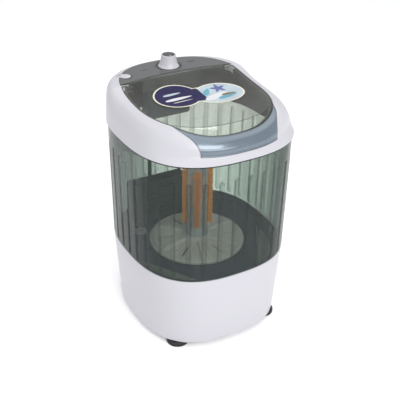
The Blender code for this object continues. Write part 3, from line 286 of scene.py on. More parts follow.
def clear_plastic(name, light, dark, haze, haze_colour, gloss=0.05, streak=(9, 9, 1),
                  darkening=2.0, mirror_low=0.03):
    """Thin clear plastic: it tints what is behind it, more so edge on, and mirrors the room."""
    nodes = Nodes(name)
    streaks = nodes.noise(7, streak)
    edge = nodes.power(nodes.add("LayerWeight", Blend=0.5).outputs["Facing"], darkening)
    tint = nodes.blend(nodes.span(streaks, 0, 1), shade(light, 0.95), shade(light, 1.03))
    passed = nodes.add("BsdfTransparent", Color=nodes.blend(edge, tint, dark))
    film = nodes.add("BsdfPrincipled", Roughness=0.35, Base_Color=(*haze_colour, 1.0))
    body = nodes.mixed(nodes.span(streaks, haze * 0.6, haze * 1.5), passed, film)
    ripple = nodes.bump(nodes.noise(16, (2.5, 2.5, 0.6), 1.0), 0.0012, 0.5)
    mirror = nodes.add("BsdfGlossy", Roughness=gloss, Normal=ripple, Color=(1, 1, 1, 1))
    facing = nodes.add("LayerWeight", Blend=0.5, Normal=ripple).outputs["Facing"]
    shine = nodes.span(nodes.power(facing, 5.0), mirror_low, 0.70, 0.0, 1.0)
    return nodes.finish(nodes.mixed(shine, body, mirror).outputs[0])


WHITE = moulded("white_shell", WHITE_SHELL, 0.34, spread=0.008, grain=0.00002, grain_scale=12,
                coat=0.08, blotch_scale=2, gloss_spread=0.2)
TUB_CLEAR = clear_plastic("tub_clear", (0.865, 0.91, 0.875), (0.035, 0.072, 0.060), 0.03,
                          SMOKE_HAZE, gloss=0.20, darkening=1.5, mirror_low=0.018)
# A darker copy of the clear tub plastic for the ribs: painted shade for the darkening that refraction
# gives along the ribs.
TUB_RIB_SHADE = clear_plastic("tub_clear_rib_painted_shade", (0.755, 0.81, 0.775), (0.035, 0.068, 0.056), 0.05,
                        SMOKE_HAZE, gloss=0.20, darkening=1.5, mirror_low=0.018)
LID_CLEAR = clear_plastic("lid_clear", (0.93, 0.935, 0.90), (0.60, 0.61, 0.59), 0.06,
                          (0.17, 0.165, 0.16), streak=(2, 2, 2), darkening=2.5, mirror_low=0.03)
# Near-black for the lid's edge faces and its fold line: painted shade for the dark outline of the gap
# and of the crease.
LID_EDGE_SHADE = moulded("lid_edge_painted_shade", (0.035, 0.042, 0.038), 0.15)
FASCIA = moulded("fascia_pearl", (0.140, 0.180, 0.218), 0.27, spread=0.04, grain=0.0, coat=1.0,
                 blotch_scale=5, metallic=0.5, gloss_spread=0.3)
PANEL = moulded("panel_gloss", (0.072, 0.074, 0.073), 0.20, spread=0.05, coat=0.2)
# Dark navy for the tub's floor pan: painted shade, standing for the shadowed inside of the base seen
# through the floor.
PAN_SHADE = moulded("tub_pan_painted_shade", (0.030, 0.037, 0.064), 0.75, spread=0.10, grain=0.0, grain_scale=30,
              gloss_spread=0.3, specular=0.15)
# Lighter grey-green for two thin plates on the pan's corners: painted light where the clear floor is
# lit.
PAN_LIT_CORNER = moulded("tub_pan_painted_light", (0.17, 0.20, 0.18), 0.70, spread=0.10, grain=0.0, specular=0.2)
# Dark grey for the inside of the top frame and the timer cover: painted shade of the frame's shaded
# inside.
COLLAR_SHADE = moulded("collar_inside_painted_shade", (0.060, 0.060, 0.058), 0.50, spread=0.10)
PULSATOR = moulded("pulsator_grey", (0.52, 0.46, 0.46), 0.38, spread=0.06, grain=0.0, grain_scale=40,
                   gloss_spread=0.4)
CORE = moulded("brush_core_grey", (0.30, 0.29, 0.31), 0.42, spread=0.08, grain_scale=60)
BRISTLE = moulded("bristle_orange", (1.0, 0.36, 0.02), 0.60, spread=0.25, grain=0.0, blotch_scale=160)
WALL_BOX = moulded("wall_box_dark", (0.010, 0.042, 0.040), 0.45, spread=0.20, grain=0.0, specular=0.2)
RUBBER = moulded("foot_rubber", (0.012, 0.012, 0.013), 0.55, spread=0.25, grain=0.0001)
BLACK = moulded("black_plastic_fine", (0.028, 0.028, 0.032), 0.42, spread=0.15)
MOTOR = moulded("motor_enamel", (0.07, 0.075, 0.09), 0.38, spread=0.20, metallic=0.5)
STEEL = brushed("zinc_steel", (0.62, 0.62, 0.60), 0.30)
CAST = moulded("cast_aluminium_rough", (0.52, 0.53, 0.54), 0.48, spread=0.12, grain=0.00015,
               grain_scale=500, metallic=1.0)
DARK_GAP = moulded("shadow_gap", (0.012, 0.012, 0.013), 0.60, spread=0.2)
PRINT_CREAM = moulded("print_cream", (0.70, 0.66, 0.54), 0.30, spread=0.03)
PRINT_NAVY = moulded("print_navy", (0.020, 0.017, 0.066), 0.50, spread=0.15, grain=0.0, specular=0.15)
PRINT_SKY = moulded("print_sky", (0.42, 0.50, 0.54), 0.40, spread=0.10, grain=0.0, blotch_scale=30,
                    specular=0.25)
PRINT_WHITE = moulded("print_white", (0.62, 0.63, 0.65), 0.40, spread=0.03, grain=0.0)
PRINT_VIOLET = moulded("print_violet", (0.10, 0.12, 0.33), 0.30, spread=0.2)
PRINT_BROWN = moulded("print_brown", (0.20, 0.11, 0.045), 0.30, spread=0.2)
PRINT_TEAL = moulded("print_teal", (0.11, 0.33, 0.42), 0.30, spread=0.2)
# Near-black for the panel's print and the knob's dark disc, and also for the painted shade in the
# recesses round the knob and the inlet.
PRINT_AND_SHADE_GREY = moulded("print_and_painted_shade_grey", (0.035, 0.037, 0.036), 0.35, spread=0.1)


# --- mesh helpers ---
def polar(reach, angle, *z):
    return (reach * cos(angle), reach * sin(angle), *z)


def about(middle, reach, angle, *z):
    """The point at a reach and an angle from a middle."""
    return (middle[0] + reach * cos(angle), middle[1] + reach * sin(angle), *z)


def middle_of(outline):
    count = len(outline)
    return sum(x for x, _ in outline) / count, sum(y for _, y in outline) / count


def place(name, mesh, surfaces, angle=SHARP_DEG):
    for surface in surfaces if isinstance(surfaces, list) else [surfaces]:
        mesh.materials.append(surface)
    mesh.shade_smooth()
    mesh.set_sharp_from_angle(angle=radians(angle))
    made = bpy.data.objects.new(name, mesh)
    bpy.context.scene.collection.objects.link(made)
    return made


def solid(name, points, faces, surfaces, angle=SHARP_DEG, triangles=False):
    """A closed mesh with its faces turned outwards."""
    mesh = bpy.data.meshes.new(name)
    mesh.from_pydata([tuple(point) for point in points], [], faces)
    shape = bmesh.new()
    shape.from_mesh(mesh)
    if triangles:
        bmesh.ops.triangulate(shape, faces=shape.faces, quad_method="FIXED")
    bmesh.ops.recalc_face_normals(shape, faces=shape.faces)
    if shape.calc_volume(signed=True) < 0:
        bmesh.ops.reverse_faces(shape, faces=shape.faces)
    shape.to_mesh(mesh)
    shape.free()
    return place(name, mesh, surfaces, angle)


def grid_faces(rows, columns, rows_close=False):
    """Quads between rows of points that each close on themselves."""
    faces = []
    for row in range(rows if rows_close else rows - 1):
        here, there = row * columns, (row + 1) % rows * columns
        for column in range(columns):
            right = (column + 1) % columns
            faces.append((here + column, here + right, there + right, there + column))
    return faces


def loft(name, rings, surfaces, ring_close=False, cap_first=None, cap_last=None,
         angle=SHARP_DEG):
    """Rings of points joined in order, closed round into a tube or shut with fans of triangles."""
    count = len(rings[0])
    points = [point for ring in rings for point in ring]
    faces = grid_faces(len(rings), count, rows_close=ring_close)
    last = (len(rings) - 1) * count
    if cap_first is not None:
        points.append(cap_first)
        faces += [((step + 1) % count, step, len(points) - 1) for step in range(count)]
    if cap_last is not None:
        points.append(cap_last)
        faces += [(last + step, last + (step + 1) % count, len(points) - 1) for step in range(count)]
    return solid(name, points, faces, surfaces, angle)


def turned(name, profile, surfaces, at=(0, 0), steps=64, ring=False, flutes=None):
    """A profile of (radius, z) spun round Z. flutes(radius, z, angle) may change the radius."""
    rings = [[about(at, flutes(radius, z, turn) if flutes else radius, turn, z)
              for turn in plan_angles(steps)] for radius, z in profile if radius > 0]
    first, last = ((*at, z) if radius <= 0 else None for radius, z in (profile[0], profile[-1]))
    return loft(name, rings, surfaces, ring, first, last)


def plate(name, outline, low, high, surface):
    rings = [[(x, y, z) for x, y in outline] for z in (low, high)]
    middle = middle_of(outline)
    return loft(name, rings, surface, False, (*middle, low), (*middle, high))


def bar(name, low, high, surface):
    outline = [(low[0], low[1]), (high[0], low[1]), (high[0], high[1]), (low[0], high[1])]
    return plate(name, outline, low[2], high[2], surface)


def rod(name, radius, start, end, surface, steps=32):
    start, end = Vector(start), Vector(end)
    made = turned(name, ((0, 0), (radius, 0), (radius, 1), (0, 1)), surface, steps=steps)
    turn = Vector((0, 0, 1)).rotation_difference(end - start).to_matrix().to_4x4()
    length = Matrix.Diagonal((1, 1, (end - start).length, 1))
    made.data.transform(Matrix.Translation(start) @ turn @ length)
    return made


def upright(name, radius, at, low, high, surface, steps=32):
    """A rod along Z."""
    return rod(name, radius, (*at, low), (*at, high), surface, steps)


def settle(made):
    """Applies the modifiers to the mesh, keeping its smooth and sharp edges."""
    graph = bpy.context.evaluated_depsgraph_get()
    mesh = bpy.data.meshes.new_from_object(made.evaluated_get(graph))
    made.modifiers.clear()
    made.data = mesh
    return made


def combine(made, operation, *others):
    for other in others:
        boolean = made.modifiers.new(operation, "BOOLEAN")
        boolean.operation = operation
        boolean.solver = "EXACT"
        boolean.object = other
    settle(made)
    for other in others:
        bpy.data.objects.remove(other, do_unlink=True)
    made.data.set_sharp_from_angle(angle=radians(SHARP_DEG))
    return made


def soften(made, width, segments=2, limit=SHARP_DEG):
    bevel = made.modifiers.new("soft_edges", "BEVEL")
    bevel.width = width
    bevel.segments = segments
    bevel.limit_method = "ANGLE"
    bevel.angle_limit = radians(limit)
    bevel.harden_normals = False
    return settle(made)


# --- outlines and surfaces shared with the CAD ---
def smoothstep(low, high, value):
    share = min(1.0, max(0.0, (value - low) / (high - low)))
    return share * share * (3 - 2 * share)


def plan_radius(angle, half_x, half_y, power):
    across = abs(cos(angle)) / half_x
    along = abs(sin(angle)) / half_y
    return (across**power + along**power) ** (-1 / power)


def plan_reach(angle, half):
    return plan_radius(angle, half, half * PLAN_RATIO, PLAN_POWER)


def plan_angles(count=PLAN_STEPS):
    return [2 * pi * step / count for step in range(count)]


def plan_ring(half, z, count=PLAN_STEPS):
    return [polar(plan_reach(angle, half), angle, z) for angle in plan_angles(count)]


def opening_side(front, inset):
    """Depth and power of the front or the back half of the opening."""
    if front:
        return OPENING_FRONT - inset, OPENING_FRONT_POWER
    return OPENING_BACK - inset, OPENING_BACK_POWER


def opening_gauge(x, y, inset):
    depth, power = opening_side(y < OPENING_MIDDLE_Y, inset)
    across = abs(x) / (OPENING_HALF - inset)
    along = abs(y - OPENING_MIDDLE_Y) / depth
    return (across**power + along**power) ** (1 / power)


def opening_point(angle, inset=0.0):
    depth, power = opening_side(sin(angle) < 0, inset)
    reach = plan_radius(angle, OPENING_HALF - inset, depth, power)
    return about((0, OPENING_MIDDLE_Y), reach, angle)


def larger(first, second, power):
    """The larger of two gauges, with the corner where they meet a little rounded."""
    return (first**power + max(second, 0.0) ** power) ** (1 / power)


def hinge_line_y(x):
    return HINGE_LINE_Y - HINGE_LINE_SAG * (x / HINGE_LINE_HALF) ** 2


def lid_surface_z(y):
    reach = (y - LID_RISE_FROM_Y) / (HINGE_Y - LID_RISE_FROM_Y)
    share = min(1.0, max(0.0, reach)) ** LID_RISE_POWER
    return LID_FRONT_Z + (PANEL_TOP_Z - LID_FRONT_Z) * share


def skirt_share(x, y):
    if y > OPENING_MIDDLE_Y:
        return 0.0
    return max(0.0, 1 - (abs(x) / SKIRT_HALF_WIDTH) ** 2.5)


def opening_edge_z(x, y):
    return lid_surface_z(y) - LID_OVER_EDGE - SKIRT_DROP * skirt_share(x, y)


def through(values, share):
    """A smooth curve through evenly spaced values, read at a share from 0 to 1."""
    last = len(values) - 1
    place_along = min(max(share, 0.0), 1.0) * last
    index = min(int(place_along), last - 1)
    local = place_along - index
    before = values[max(index - 1, 0)]
    start, end = values[index], values[index + 1]
    after = values[min(index + 2, last)]
    return 0.5 * (
        2 * start
        + (end - before) * local
        + (2 * before - 5 * start + 4 * end - after) * local**2
        + (3 * start - before - 3 * end + after) * local**3
    )


def frame_point(angle, rise):
    """The top frame's outer surface: rise 0 is its lower edge, 1 is the opening."""
    reach = plan_reach(angle, RIM_HALF)
    outer_x, outer_y = reach * cos(angle), reach * sin(angle)
    inner_x, inner_y = opening_point(angle)
    edge_z = opening_edge_z(inner_x, inner_y)
    facing = outer_y / (RIM_HALF * PLAN_RATIO)
    front = smoothstep(0.50, 0.92, -facing)
    back = smoothstep(0.10, 0.75, facing)
    side = 1 - front - back
    sections = list(zip(FRONT_SECTION, SIDE_SECTION, BACK_SECTION))
    inward, upward = (
        through([front * ahead[axis] + side * beside[axis] + back * behind[axis]
                 for ahead, beside, behind in sections], rise)
        for axis in (0, 1)
    )
    return Vector((outer_x + (inner_x - outer_x) * inward,
                   outer_y + (inner_y - outer_y) * inward,
                   RIM_Z + (edge_z - RIM_Z) * upward))


def skirt_low_z(angle):
    """The inner skirt is deep behind and at the sides, and shallow at the front."""
    front = smoothstep(-0.15, 0.55, -sin(angle))
    return SKIRT_LOW_Z + (SKIRT_FRONT_Z - SKIRT_LOW_Z) * front


def frame_normal(angle, rise):
    step = 0.01
    low, high = max(rise - step, 0.0), min(rise + step, 1.0)
    along = frame_point(angle + step, rise) - frame_point(angle - step, rise)
    up = frame_point(angle, high) - frame_point(angle, low)
    return along.cross(up).normalized()


def frame_offset(angle, rise, outward):
    base = frame_point(angle, min(rise, 1.0))
    if rise > 1.0:
        base += (frame_point(angle, 1.0) - frame_point(angle, 0.97)) * ((rise - 1.0) / 0.03)
    return base + frame_normal(angle, min(rise, 1.0)) * outward


def outline_ring(inside, middle, count, far=0.4):
    """Points where inside(x, y), a gauge that grows outwards, passes 1, by halving."""
    ring = []
    for angle in plan_angles(count):
        low, high = 0.0, far
        for _ in range(HALVINGS):
            reach = (low + high) / 2
            if inside(*about(middle, reach, angle)) < 1:
                low = reach
            else:
                high = reach
        ring.append(about(middle, low, angle))
    return ring


# --- base ---
def base_half(z):
    share = (z - BASE_BOTTOM_Z) / (BASE_TOP_Z - BASE_BOTTOM_Z)
    return BASE_BOTTOM_HALF + (BASE_TOP_HALF - BASE_BOTTOM_HALF) * share


def make_base():
    """The white housing, with a rounded lower edge and a softened seam at the top."""
    foot = 0.0045
    lip = 0.0009
    rings = []
    for step in reversed(range(6)):
        turn = radians(90 * step / 5)
        z = BASE_BOTTOM_Z + foot * (1 - sin(turn))
        rings.append(plan_ring(base_half(z) - foot * (1 - cos(turn)), z))
    for share in (0.25, 0.5, 0.75):
        z = BASE_BOTTOM_Z + foot + (BASE_TOP_Z - BASE_BOTTOM_Z - foot) * share
        rings.append(plan_ring(base_half(z), z))
    for inward, down in ((0.0, lip), (lip * 0.3, lip * 0.3), (lip, 0.0)):
        z = BASE_TOP_Z - down
        rings.append(plan_ring(base_half(z) - inward, z))
    rings.append(plan_ring(base_half(BASE_TOP_Z) - BASE_WALL, BASE_TOP_Z))
    rings.append(plan_ring(base_half(BASE_BOTTOM_Z) - BASE_WALL - 0.0006, BASE_BOTTOM_Z))
    housing = loft("base_shell", rings, WHITE, ring_close=True)
    holes = ((DRAIN_RADIUS + CLEARANCE, DRAIN_X, 0.12, DRAIN_OUT_Z),
             (GLAND_HOLE_RADIUS, GLAND_X, 0.13, GLAND_Z))
    cutters = [rod("hole", radius, (x, y, z), (x, 0.2, z), WHITE) for radius, x, y, z in holes]
    for z in (0.085 + 0.014 * row for row in range(4)):
        cutters.append(bar("vent", (-0.045, 0.13, z), (0.045, 0.2, z + 0.005), WHITE))
    combine(housing, "DIFFERENCE", *cutters)
    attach(housing, "cabinet")
    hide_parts("base_housing")


def make_feet():
    tread = ((0.0035, 0.0104), (0.0012, 0.0092), (0, 0.0072), (0, 0.0052), (0.0008, 0.0048),
             (0.0008, 0.0040), (0, 0.0036), (0, 0.0018), (0.0006, 0.0006), (0.0020, 0.0))
    profile = ((0.0, 0.0116), (0.010, 0.0116), (0.0104, 0.0108), (0.0104, 0.0104),
               *((FOOT_RADIUS - inward, z) for inward, z in tread),
               (0.008, 0.0), (0.008, 0.004), (0.0, 0.004))
    for row, side_y in (("front", -1), ("rear", 1)):
        for column, side_x in (("left", -1), ("right", 1)):
            foot = turned(f"rubber_foot_{row}_{column}", profile, RUBBER,
                          (side_x * FOOT_X, side_y * FOOT_Y), steps=56)
            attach(foot, "cabinet")
            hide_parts(f"foot_{row}_{column}")


# --- tub ---
def rib_places():
    """Angles of the ribs, equally spaced along the tub's wall, and of the mesh's columns."""
    fine = 2880
    points = plan_ring(TUB_TOP_HALF, 0.0, fine)
    lengths = [0.0]
    for step in range(fine):
        following = points[(step + 1) % fine]
        lengths.append(lengths[-1] + dist(points[step], following))
    total = lengths[-1]
    pitch = total / RIB_COUNT
    columns = []
    index = 0
    for column in range(RIB_COUNT * len(RIB_COLUMNS)):
        middle = pitch * (column // len(RIB_COLUMNS) + 0.5)
        offset = max(RIB_COLUMNS[column % len(RIB_COLUMNS)] * RIB_HALF, -pitch / 2)
        wanted = middle + offset
        while lengths[index + 1] < wanted:
            index += 1
        local = (wanted - lengths[index]) / (lengths[index + 1] - lengths[index])
        columns.append((2 * pi * (index + local) / fine, wanted))
    return columns, pitch


def rib_depth(along, pitch, z):
    """How far the wall is pressed in: a round channel that ends in a round top and bottom."""
    across = (along % pitch) - pitch / 2
    over = max(0.0, z - (RIB_HIGH_Z - RIB_HALF), (RIB_LOW_Z + RIB_HALF) - z)
    reach = hypot(across, over) / RIB_HALF
    if reach >= 1:
        return 0.0
    return RIB_DEPTH * (1 - reach**2)


def tub_half(z):
    share = (z - BASE_TOP_Z) / (TUB_TOP_Z - BASE_TOP_Z)
    return BASE_TOP_HALF + (TUB_TOP_HALF - BASE_TOP_HALF) * share


def make_tub():
    columns, pitch = rib_places()
    low = BASE_TOP_Z + CLEARANCE
    heights = [low, low + 0.0008, low + 0.0022]
    heights += [RIB_LOW_Z + RIB_HALF * step / 4 for step in range(5)]
    straight = RIB_HIGH_Z - RIB_LOW_Z - 2 * RIB_HALF
    heights += [RIB_LOW_Z + RIB_HALF + straight * step / 8 for step in range(1, 8)]
    heights += [RIB_HIGH_Z - RIB_HALF + RIB_HALF * step / 5 for step in range(6)]
    heights += [RIB_HIGH_Z + 0.003, 0.430, TUB_TOP_Z]
    rings = []
    for side, zs in ((0.0, heights), (TUB_WALL, list(reversed(heights)))):
        for z in zs:
            ring = []
            for angle, along in columns:
                step_in = 0.0006 if z == low and side == 0.0 else 0.0
                reach = plan_reach(angle, tub_half(z) - side - step_in)
                ring.append(polar(reach - rib_depth(along, pitch, z), angle, z))
            rings.append(ring)
    wall = loft("tub_wall_clear", rings, [TUB_CLEAR, TUB_RIB_SHADE], ring_close=True, angle=50)
    count = len(columns)
    # Faces inside a rib take the darker copy: painted shade on the ribs.
    for face in wall.data.polygons:
        in_rib = 0
        for index in face.vertices:
            along, z = columns[index % count][1], wall.data.vertices[index].co.z
            in_rib += rib_depth(along, pitch, z) > 0
        face.material_index = 1 if in_rib >= 2 else 0
    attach(wall, "cabinet")
    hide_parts("wash_tub")

    # A thin near-black band under the frame's rim: painted shadow of the joint between frame and tub.
    gap_rings = [plan_ring(TUB_TOP_HALF + out, z) for out, z in (
        (-0.0004, GAP_LINE_LOW_Z), (0.0006, GAP_LINE_LOW_Z), (0.0006, TUB_TOP_Z),
        (-0.0004, TUB_TOP_Z))]
    gap = loft("rim_shadow_line", gap_rings, DARK_GAP, ring_close=True)
    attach(gap, "cabinet")

    foot_half = BASE_TOP_HALF - BASE_WALL - 0.0009
    top_z = BASE_TOP_Z + CLEARANCE - 0.0004
    floor_z = TUB_FLOOR_Z + TUB_WALL
    pan_rings = [[polar(SHAFT_HOLE, angle, z) for angle in plan_angles()]
                 for z in (floor_z, TUB_FLOOR_Z)]
    pan_rings += [plan_ring(half, z) for half, z in (
        (foot_half - PAN_SLOPE, TUB_FLOOR_Z),
        (foot_half - 0.0015, TUB_FLOOR_Z + 0.006),
        (foot_half, top_z),
        (foot_half - TUB_WALL, top_z),
        (foot_half - 0.0015 - TUB_WALL, TUB_FLOOR_Z + 0.008),
        (foot_half - PAN_SLOPE - 0.001, floor_z + 0.0004),
        (foot_half - 0.016, floor_z),
    )]
    # The pan's dark navy is painted shade of the base's inside under the floor.
    pan = loft("tub_pan", pan_rings, PAN_SHADE, ring_close=True)
    drain = upright("hole_tub_drain", 0.0075, (DRAIN_X, DRAIN_Y), 0.14, 0.17, PAN_SHADE)
    combine(pan, "DIFFERENCE", drain)
    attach(pan, "cabinet")

    # Two lighter plates on the floor's corners: painted light of the lit clear floor beside the
    # painted shade.
    for name, start, end in (("right", -67, -5), ("left", -175, -113)):
        outline = []
        for step in range(25):
            angle = radians(start + (end - start) * step / 24)
            outline.append(polar(plan_reach(angle, foot_half - 0.0165), angle))
        corner = plate(f"pan_painted_light_{name}", outline, floor_z + 0.0001, floor_z + 0.0007, PAN_LIT_CORNER)
        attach(corner, "cabinet")


# --- pulsator and brush column ---
def pulsator_height(radius, turn):
    """Height of the pulsator's top above its rim's datum: a cone with vanes and fine ribs."""
    points = ((0.0215, 0.0150), (0.026, 0.0120), (0.034, 0.0070), (0.100, 0.0036),
              (PULSATOR_RADIUS, 0.0015))
    height = points[-1][1]
    for (near, high), (far, low) in zip(points, points[1:]):
        if near <= radius <= far:
            share = (radius - near) / (far - near)
            height = high + (low - high) * share
            break
    in_band = smoothstep(0.030, 0.036, radius) * (1 - smoothstep(0.090, 0.097, radius))
    for vane in range(VANE_COUNT):
        offset = (turn - radians(60 * vane + 10) + pi) % (2 * pi) - pi
        side = abs(offset) * radius
        height += VANE_HEIGHT * in_band * max(0.0, 1 - (side / VANE_HALF) ** 2) ** 0.7
    fine = 0.5 + 0.5 * cos(FINE_RIB_COUNT * turn)
    fine_band = 0.0016 * smoothstep(0.042, 0.050, radius) * (1 - smoothstep(0.088, 0.094, radius))
    height += fine_band * fine**4
    height += 0.0012 * exp(-(((radius - 0.0985) / 0.0018) ** 2))
    return height


def make_pulsator():
    steps = 288
    rim = PULSATOR_RIM_Z
    radii = [0.0215, 0.0235, 0.026, 0.029, 0.0315, 0.034, 0.037, 0.041, 0.045, 0.049, 0.055, 0.062,
             0.069, 0.076, 0.083, 0.087, 0.090, 0.093, 0.0955, 0.097, 0.0985, 0.100, 0.1015, 0.103,
             PULSATOR_RADIUS]
    turns = plan_angles(steps)
    rings = [[polar(radius, turn, rim + pulsator_height(radius, turn)) for turn in turns]
             for radius in radii]
    under = ((PULSATOR_RADIUS, -0.0025), (0.1015, -0.0025), (0.1000, 0.0006), (0.036, 0.0030),
             (0.014, -0.0005), (0.0044, -0.0005), (0.0044, 0.0105), (0.010, 0.0150))
    rings += [[polar(radius, turn, rim + height) for turn in turns] for radius, height in under]
    disc = loft("pulsator_disc", rings, PULSATOR, ring_close=True, angle=40)
    cutters = []
    for slot in range(VANE_COUNT):
        turn = radians(60 * slot + 40)
        slot_bar = bar("slot", (0.052, -0.0022, 0.15), (0.086, 0.0022, 0.19), DARK_GAP)
        slot_bar.data.transform(Matrix.Rotation(turn, 4, "Z"))
        cutters.append(slot_bar)
        for radius, side in ((0.060, -15), (0.075, -12), (0.060, 15), (0.075, 12)):
            at = polar(radius, turn + radians(side))
            cutters.append(upright("hole", 0.0015, at, 0.15, 0.19, DARK_GAP, 10))
    combine(disc, "DIFFERENCE", *cutters)
    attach(disc, "pulsator")
    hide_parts("pulsator")


def make_bristles():
    """Rows of tufts: each tuft is a bundle of thin bristles that spread towards their tips."""
    for row in range(4):
        heading = radians(FIRST_BRISTLE_DEG + 90 * row)
        points, faces = [], []

        def spike(start, end, width):
            along = (end - start).normalized()
            across = along.orthogonal().normalized()
            other = along.cross(across)
            first = len(points)
            for centre, size in ((start, width), (end, width * 0.62)):
                for side in range(4):
                    turn = pi / 2 * side
                    points.append(centre + (across * cos(turn) + other * sin(turn)) * size)
            for face in SPIKE_FACES:
                faces.append(tuple(first + index for index in face))

        for tuft in range(TUFTS):
            share = tuft / (TUFTS - 1)
            z = BRISTLE_LOW_Z + 0.004 + (BRISTLE_HIGH_Z - BRISTLE_LOW_Z - 0.008) * share
            wide = 0.0075 + 0.0050 * share
            for number in range(STRANDS):
                turn = GOLDEN_ANGLE * number + tuft * 0.7 + row
                spread = sqrt(number / STRANDS)
                reach = BRISTLE_REACH - 0.0014 * ((number * 7 + tuft * 3) % 5) / 4
                start = Vector((0.0118, 0.0042 * spread * cos(turn),
                                z + 0.0012 * spread * sin(turn)))
                end = Vector((reach, wide * spread * cos(turn),
                              z + 0.0021 * spread * sin(turn)))
                spike(start, end, STRAND_RADIUS)
        strip = bar("strip", (0.0108, -0.0046, BRISTLE_LOW_Z), (0.0128, 0.0046, BRISTLE_HIGH_Z),
                    BRISTLE)
        first = len(points)
        points += [vertex.co.copy() for vertex in strip.data.vertices]
        faces += [tuple(first + index for index in face.vertices) for face in strip.data.polygons]
        bpy.data.objects.remove(strip, do_unlink=True)
        mesh = bpy.data.meshes.new("bristles")
        mesh.from_pydata([tuple(point) for point in points], [], faces)
        mesh.transform(Matrix.Rotation(heading, 4, "Z"))
        tuft_row = place(f"bristle_tufts_{row + 1}", mesh, BRISTLE)
        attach(tuft_row, "pulsator")
        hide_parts(f"bristle_row_{row + 1}")


# --- top frame, fascia and panel ---
def inlet_outline(extra=0.0, steps=24):
    heading = atan2(INLET_FAR[1] - INLET_NEAR[1], INLET_FAR[0] - INLET_NEAR[0])
    ends = (
        (INLET_FAR, INLET_FAR_RADIUS + extra, heading - pi / 2),
        (INLET_NEAR, INLET_RADIUS + extra, heading + pi / 2),
    )
    outline = []
    for middle, radius, start in ends:
        for step in range(steps + 1):
            outline.append(about(middle, radius, start + pi * step / steps))
    return outline


def frame_wall(angle):
    """The outward direction and the thickness of the frame's wall, thicker in front."""
    front = smoothstep(0.45, 0.75, -sin(angle))
    wall = FRAME_WALL + (FRAME_FRONT_WALL - FRAME_WALL) * front
    return Vector((cos(angle), sin(angle), 0)), wall


def inner_rise(angle, share, wall, ledge_z):
    point = frame_point(angle, share) - frame_normal(angle, share) * wall
    point.z = min(point.z, ledge_z - 0.0028)
    return point


def frame_section(angle, rises=30):
    """The closed section of the top frame at one angle: outer skin, rebate, lip, inner skin."""
    outward, wall = frame_wall(angle)
    outer = [frame_point(angle, step / rises) for step in range(rises + 1)]
    edge = outer[-1]
    rim = outer[0].copy()
    outer[0] = rim - outward * 0.0007
    outer.insert(1, rim + Vector((0, 0, 0.0006)))
    ledge = opening_point(angle, LEDGE_WIDTH)
    back = opening_point(angle, LEDGE_WIDTH - 0.0024)
    ledge_z = edge.z - REBATE_DEPTH
    rebate = [
        (edge.x - outward.x * 0.0003, edge.y - outward.y * 0.0003, edge.z - 0.0004),
        (edge.x - outward.x * 0.0002, edge.y - outward.y * 0.0002, ledge_z),
        (*ledge, ledge_z),
        (*ledge, ledge_z - LIP_HEIGHT),
        (*back, ledge_z - LIP_HEIGHT),
        (*back, ledge_z - 0.0026),
    ]
    inner = [inner_rise(angle, share, wall, ledge_z) for share in (0.96, *INNER_SHARES)]
    inner[0].x = edge.x - outward.x * 0.0004
    inner[0].y = edge.y - outward.y * 0.0004
    skirt = plan_reach(angle, SKIRT_HALF)
    thin = skirt - SKIRT_WALL
    inner += [
        (outward.x * reach, outward.y * reach, z)
        for reach, z in ((thin, TUB_TOP_Z + 0.0030), (thin, skirt_low_z(angle)),
                         (skirt, skirt_low_z(angle)), (skirt, RIM_Z))
    ]
    return outer + rebate + inner


def fascia_side(rise):
    share = (rise - FASCIA_LOW) / (1 - FASCIA_LOW)
    return radians(27 + 18 * max(share, 0.0) ** 2.2)


def fascia_patch(name, surface, rises, extra, near, far, across=48):
    """The part of the frame's surface that the fascia covers, from near to far off it."""
    rings = []
    for column in range(across + 1):
        ring = []
        for outward, rows in ((near, rises), (far, list(reversed(rises)))):
            for rise in rows:
                half = fascia_side(min(rise, 1.0)) + extra
                angle = -pi / 2 + half * (2 * column / across - 1)
                ring.append(frame_offset(angle, rise, outward))
        rings.append(ring)
    count = len(rings[0])
    faces = grid_faces(across + 1, count)
    faces.append(tuple(range(count)))
    faces.append(tuple(across * count + step for step in reversed(range(count))))
    points = [point for ring in rings for point in ring]
    return solid(name, points, faces, surface, triangles=True)


def deck_outline():
    def gauge(x, y):
        return opening_gauge(x, y, LEDGE_WIDTH - 0.003) if y > DECK_FRONT_Y else 2.0

    curved = [point for point in outline_ring(gauge, (0, 0.140), 160)
              if point[1] > DECK_FRONT_Y + 0.001]
    curved.sort(key=lambda point: atan2(point[1] - DECK_FRONT_Y, point[0]))
    reach = max(abs(point[0]) for point in curved)
    return [(reach, DECK_FRONT_Y), *curved, (-reach, DECK_FRONT_Y)]


def add_bearings(made, surface, low, high, bore_ends):
    """A block at each end of the hinge, from low to high (y from the hinge), bored for its pin."""
    for side in (-1, 1):
        inner, outer = sorted((side * low[0], side * high[0]))
        block = bar("bearing", (inner, HINGE_Y + low[1], low[2]),
                    (outer, HINGE_Y + high[1], high[2]), surface)
        soften(block, 0.0006)
        combine(made, "UNION", block)
        start, end = ((side * x, HINGE_Y, HINGE_Z) for x in bore_ends)
        combine(made, "DIFFERENCE", rod("bore", PIN_BORE_RADIUS, start, end, surface, 24))


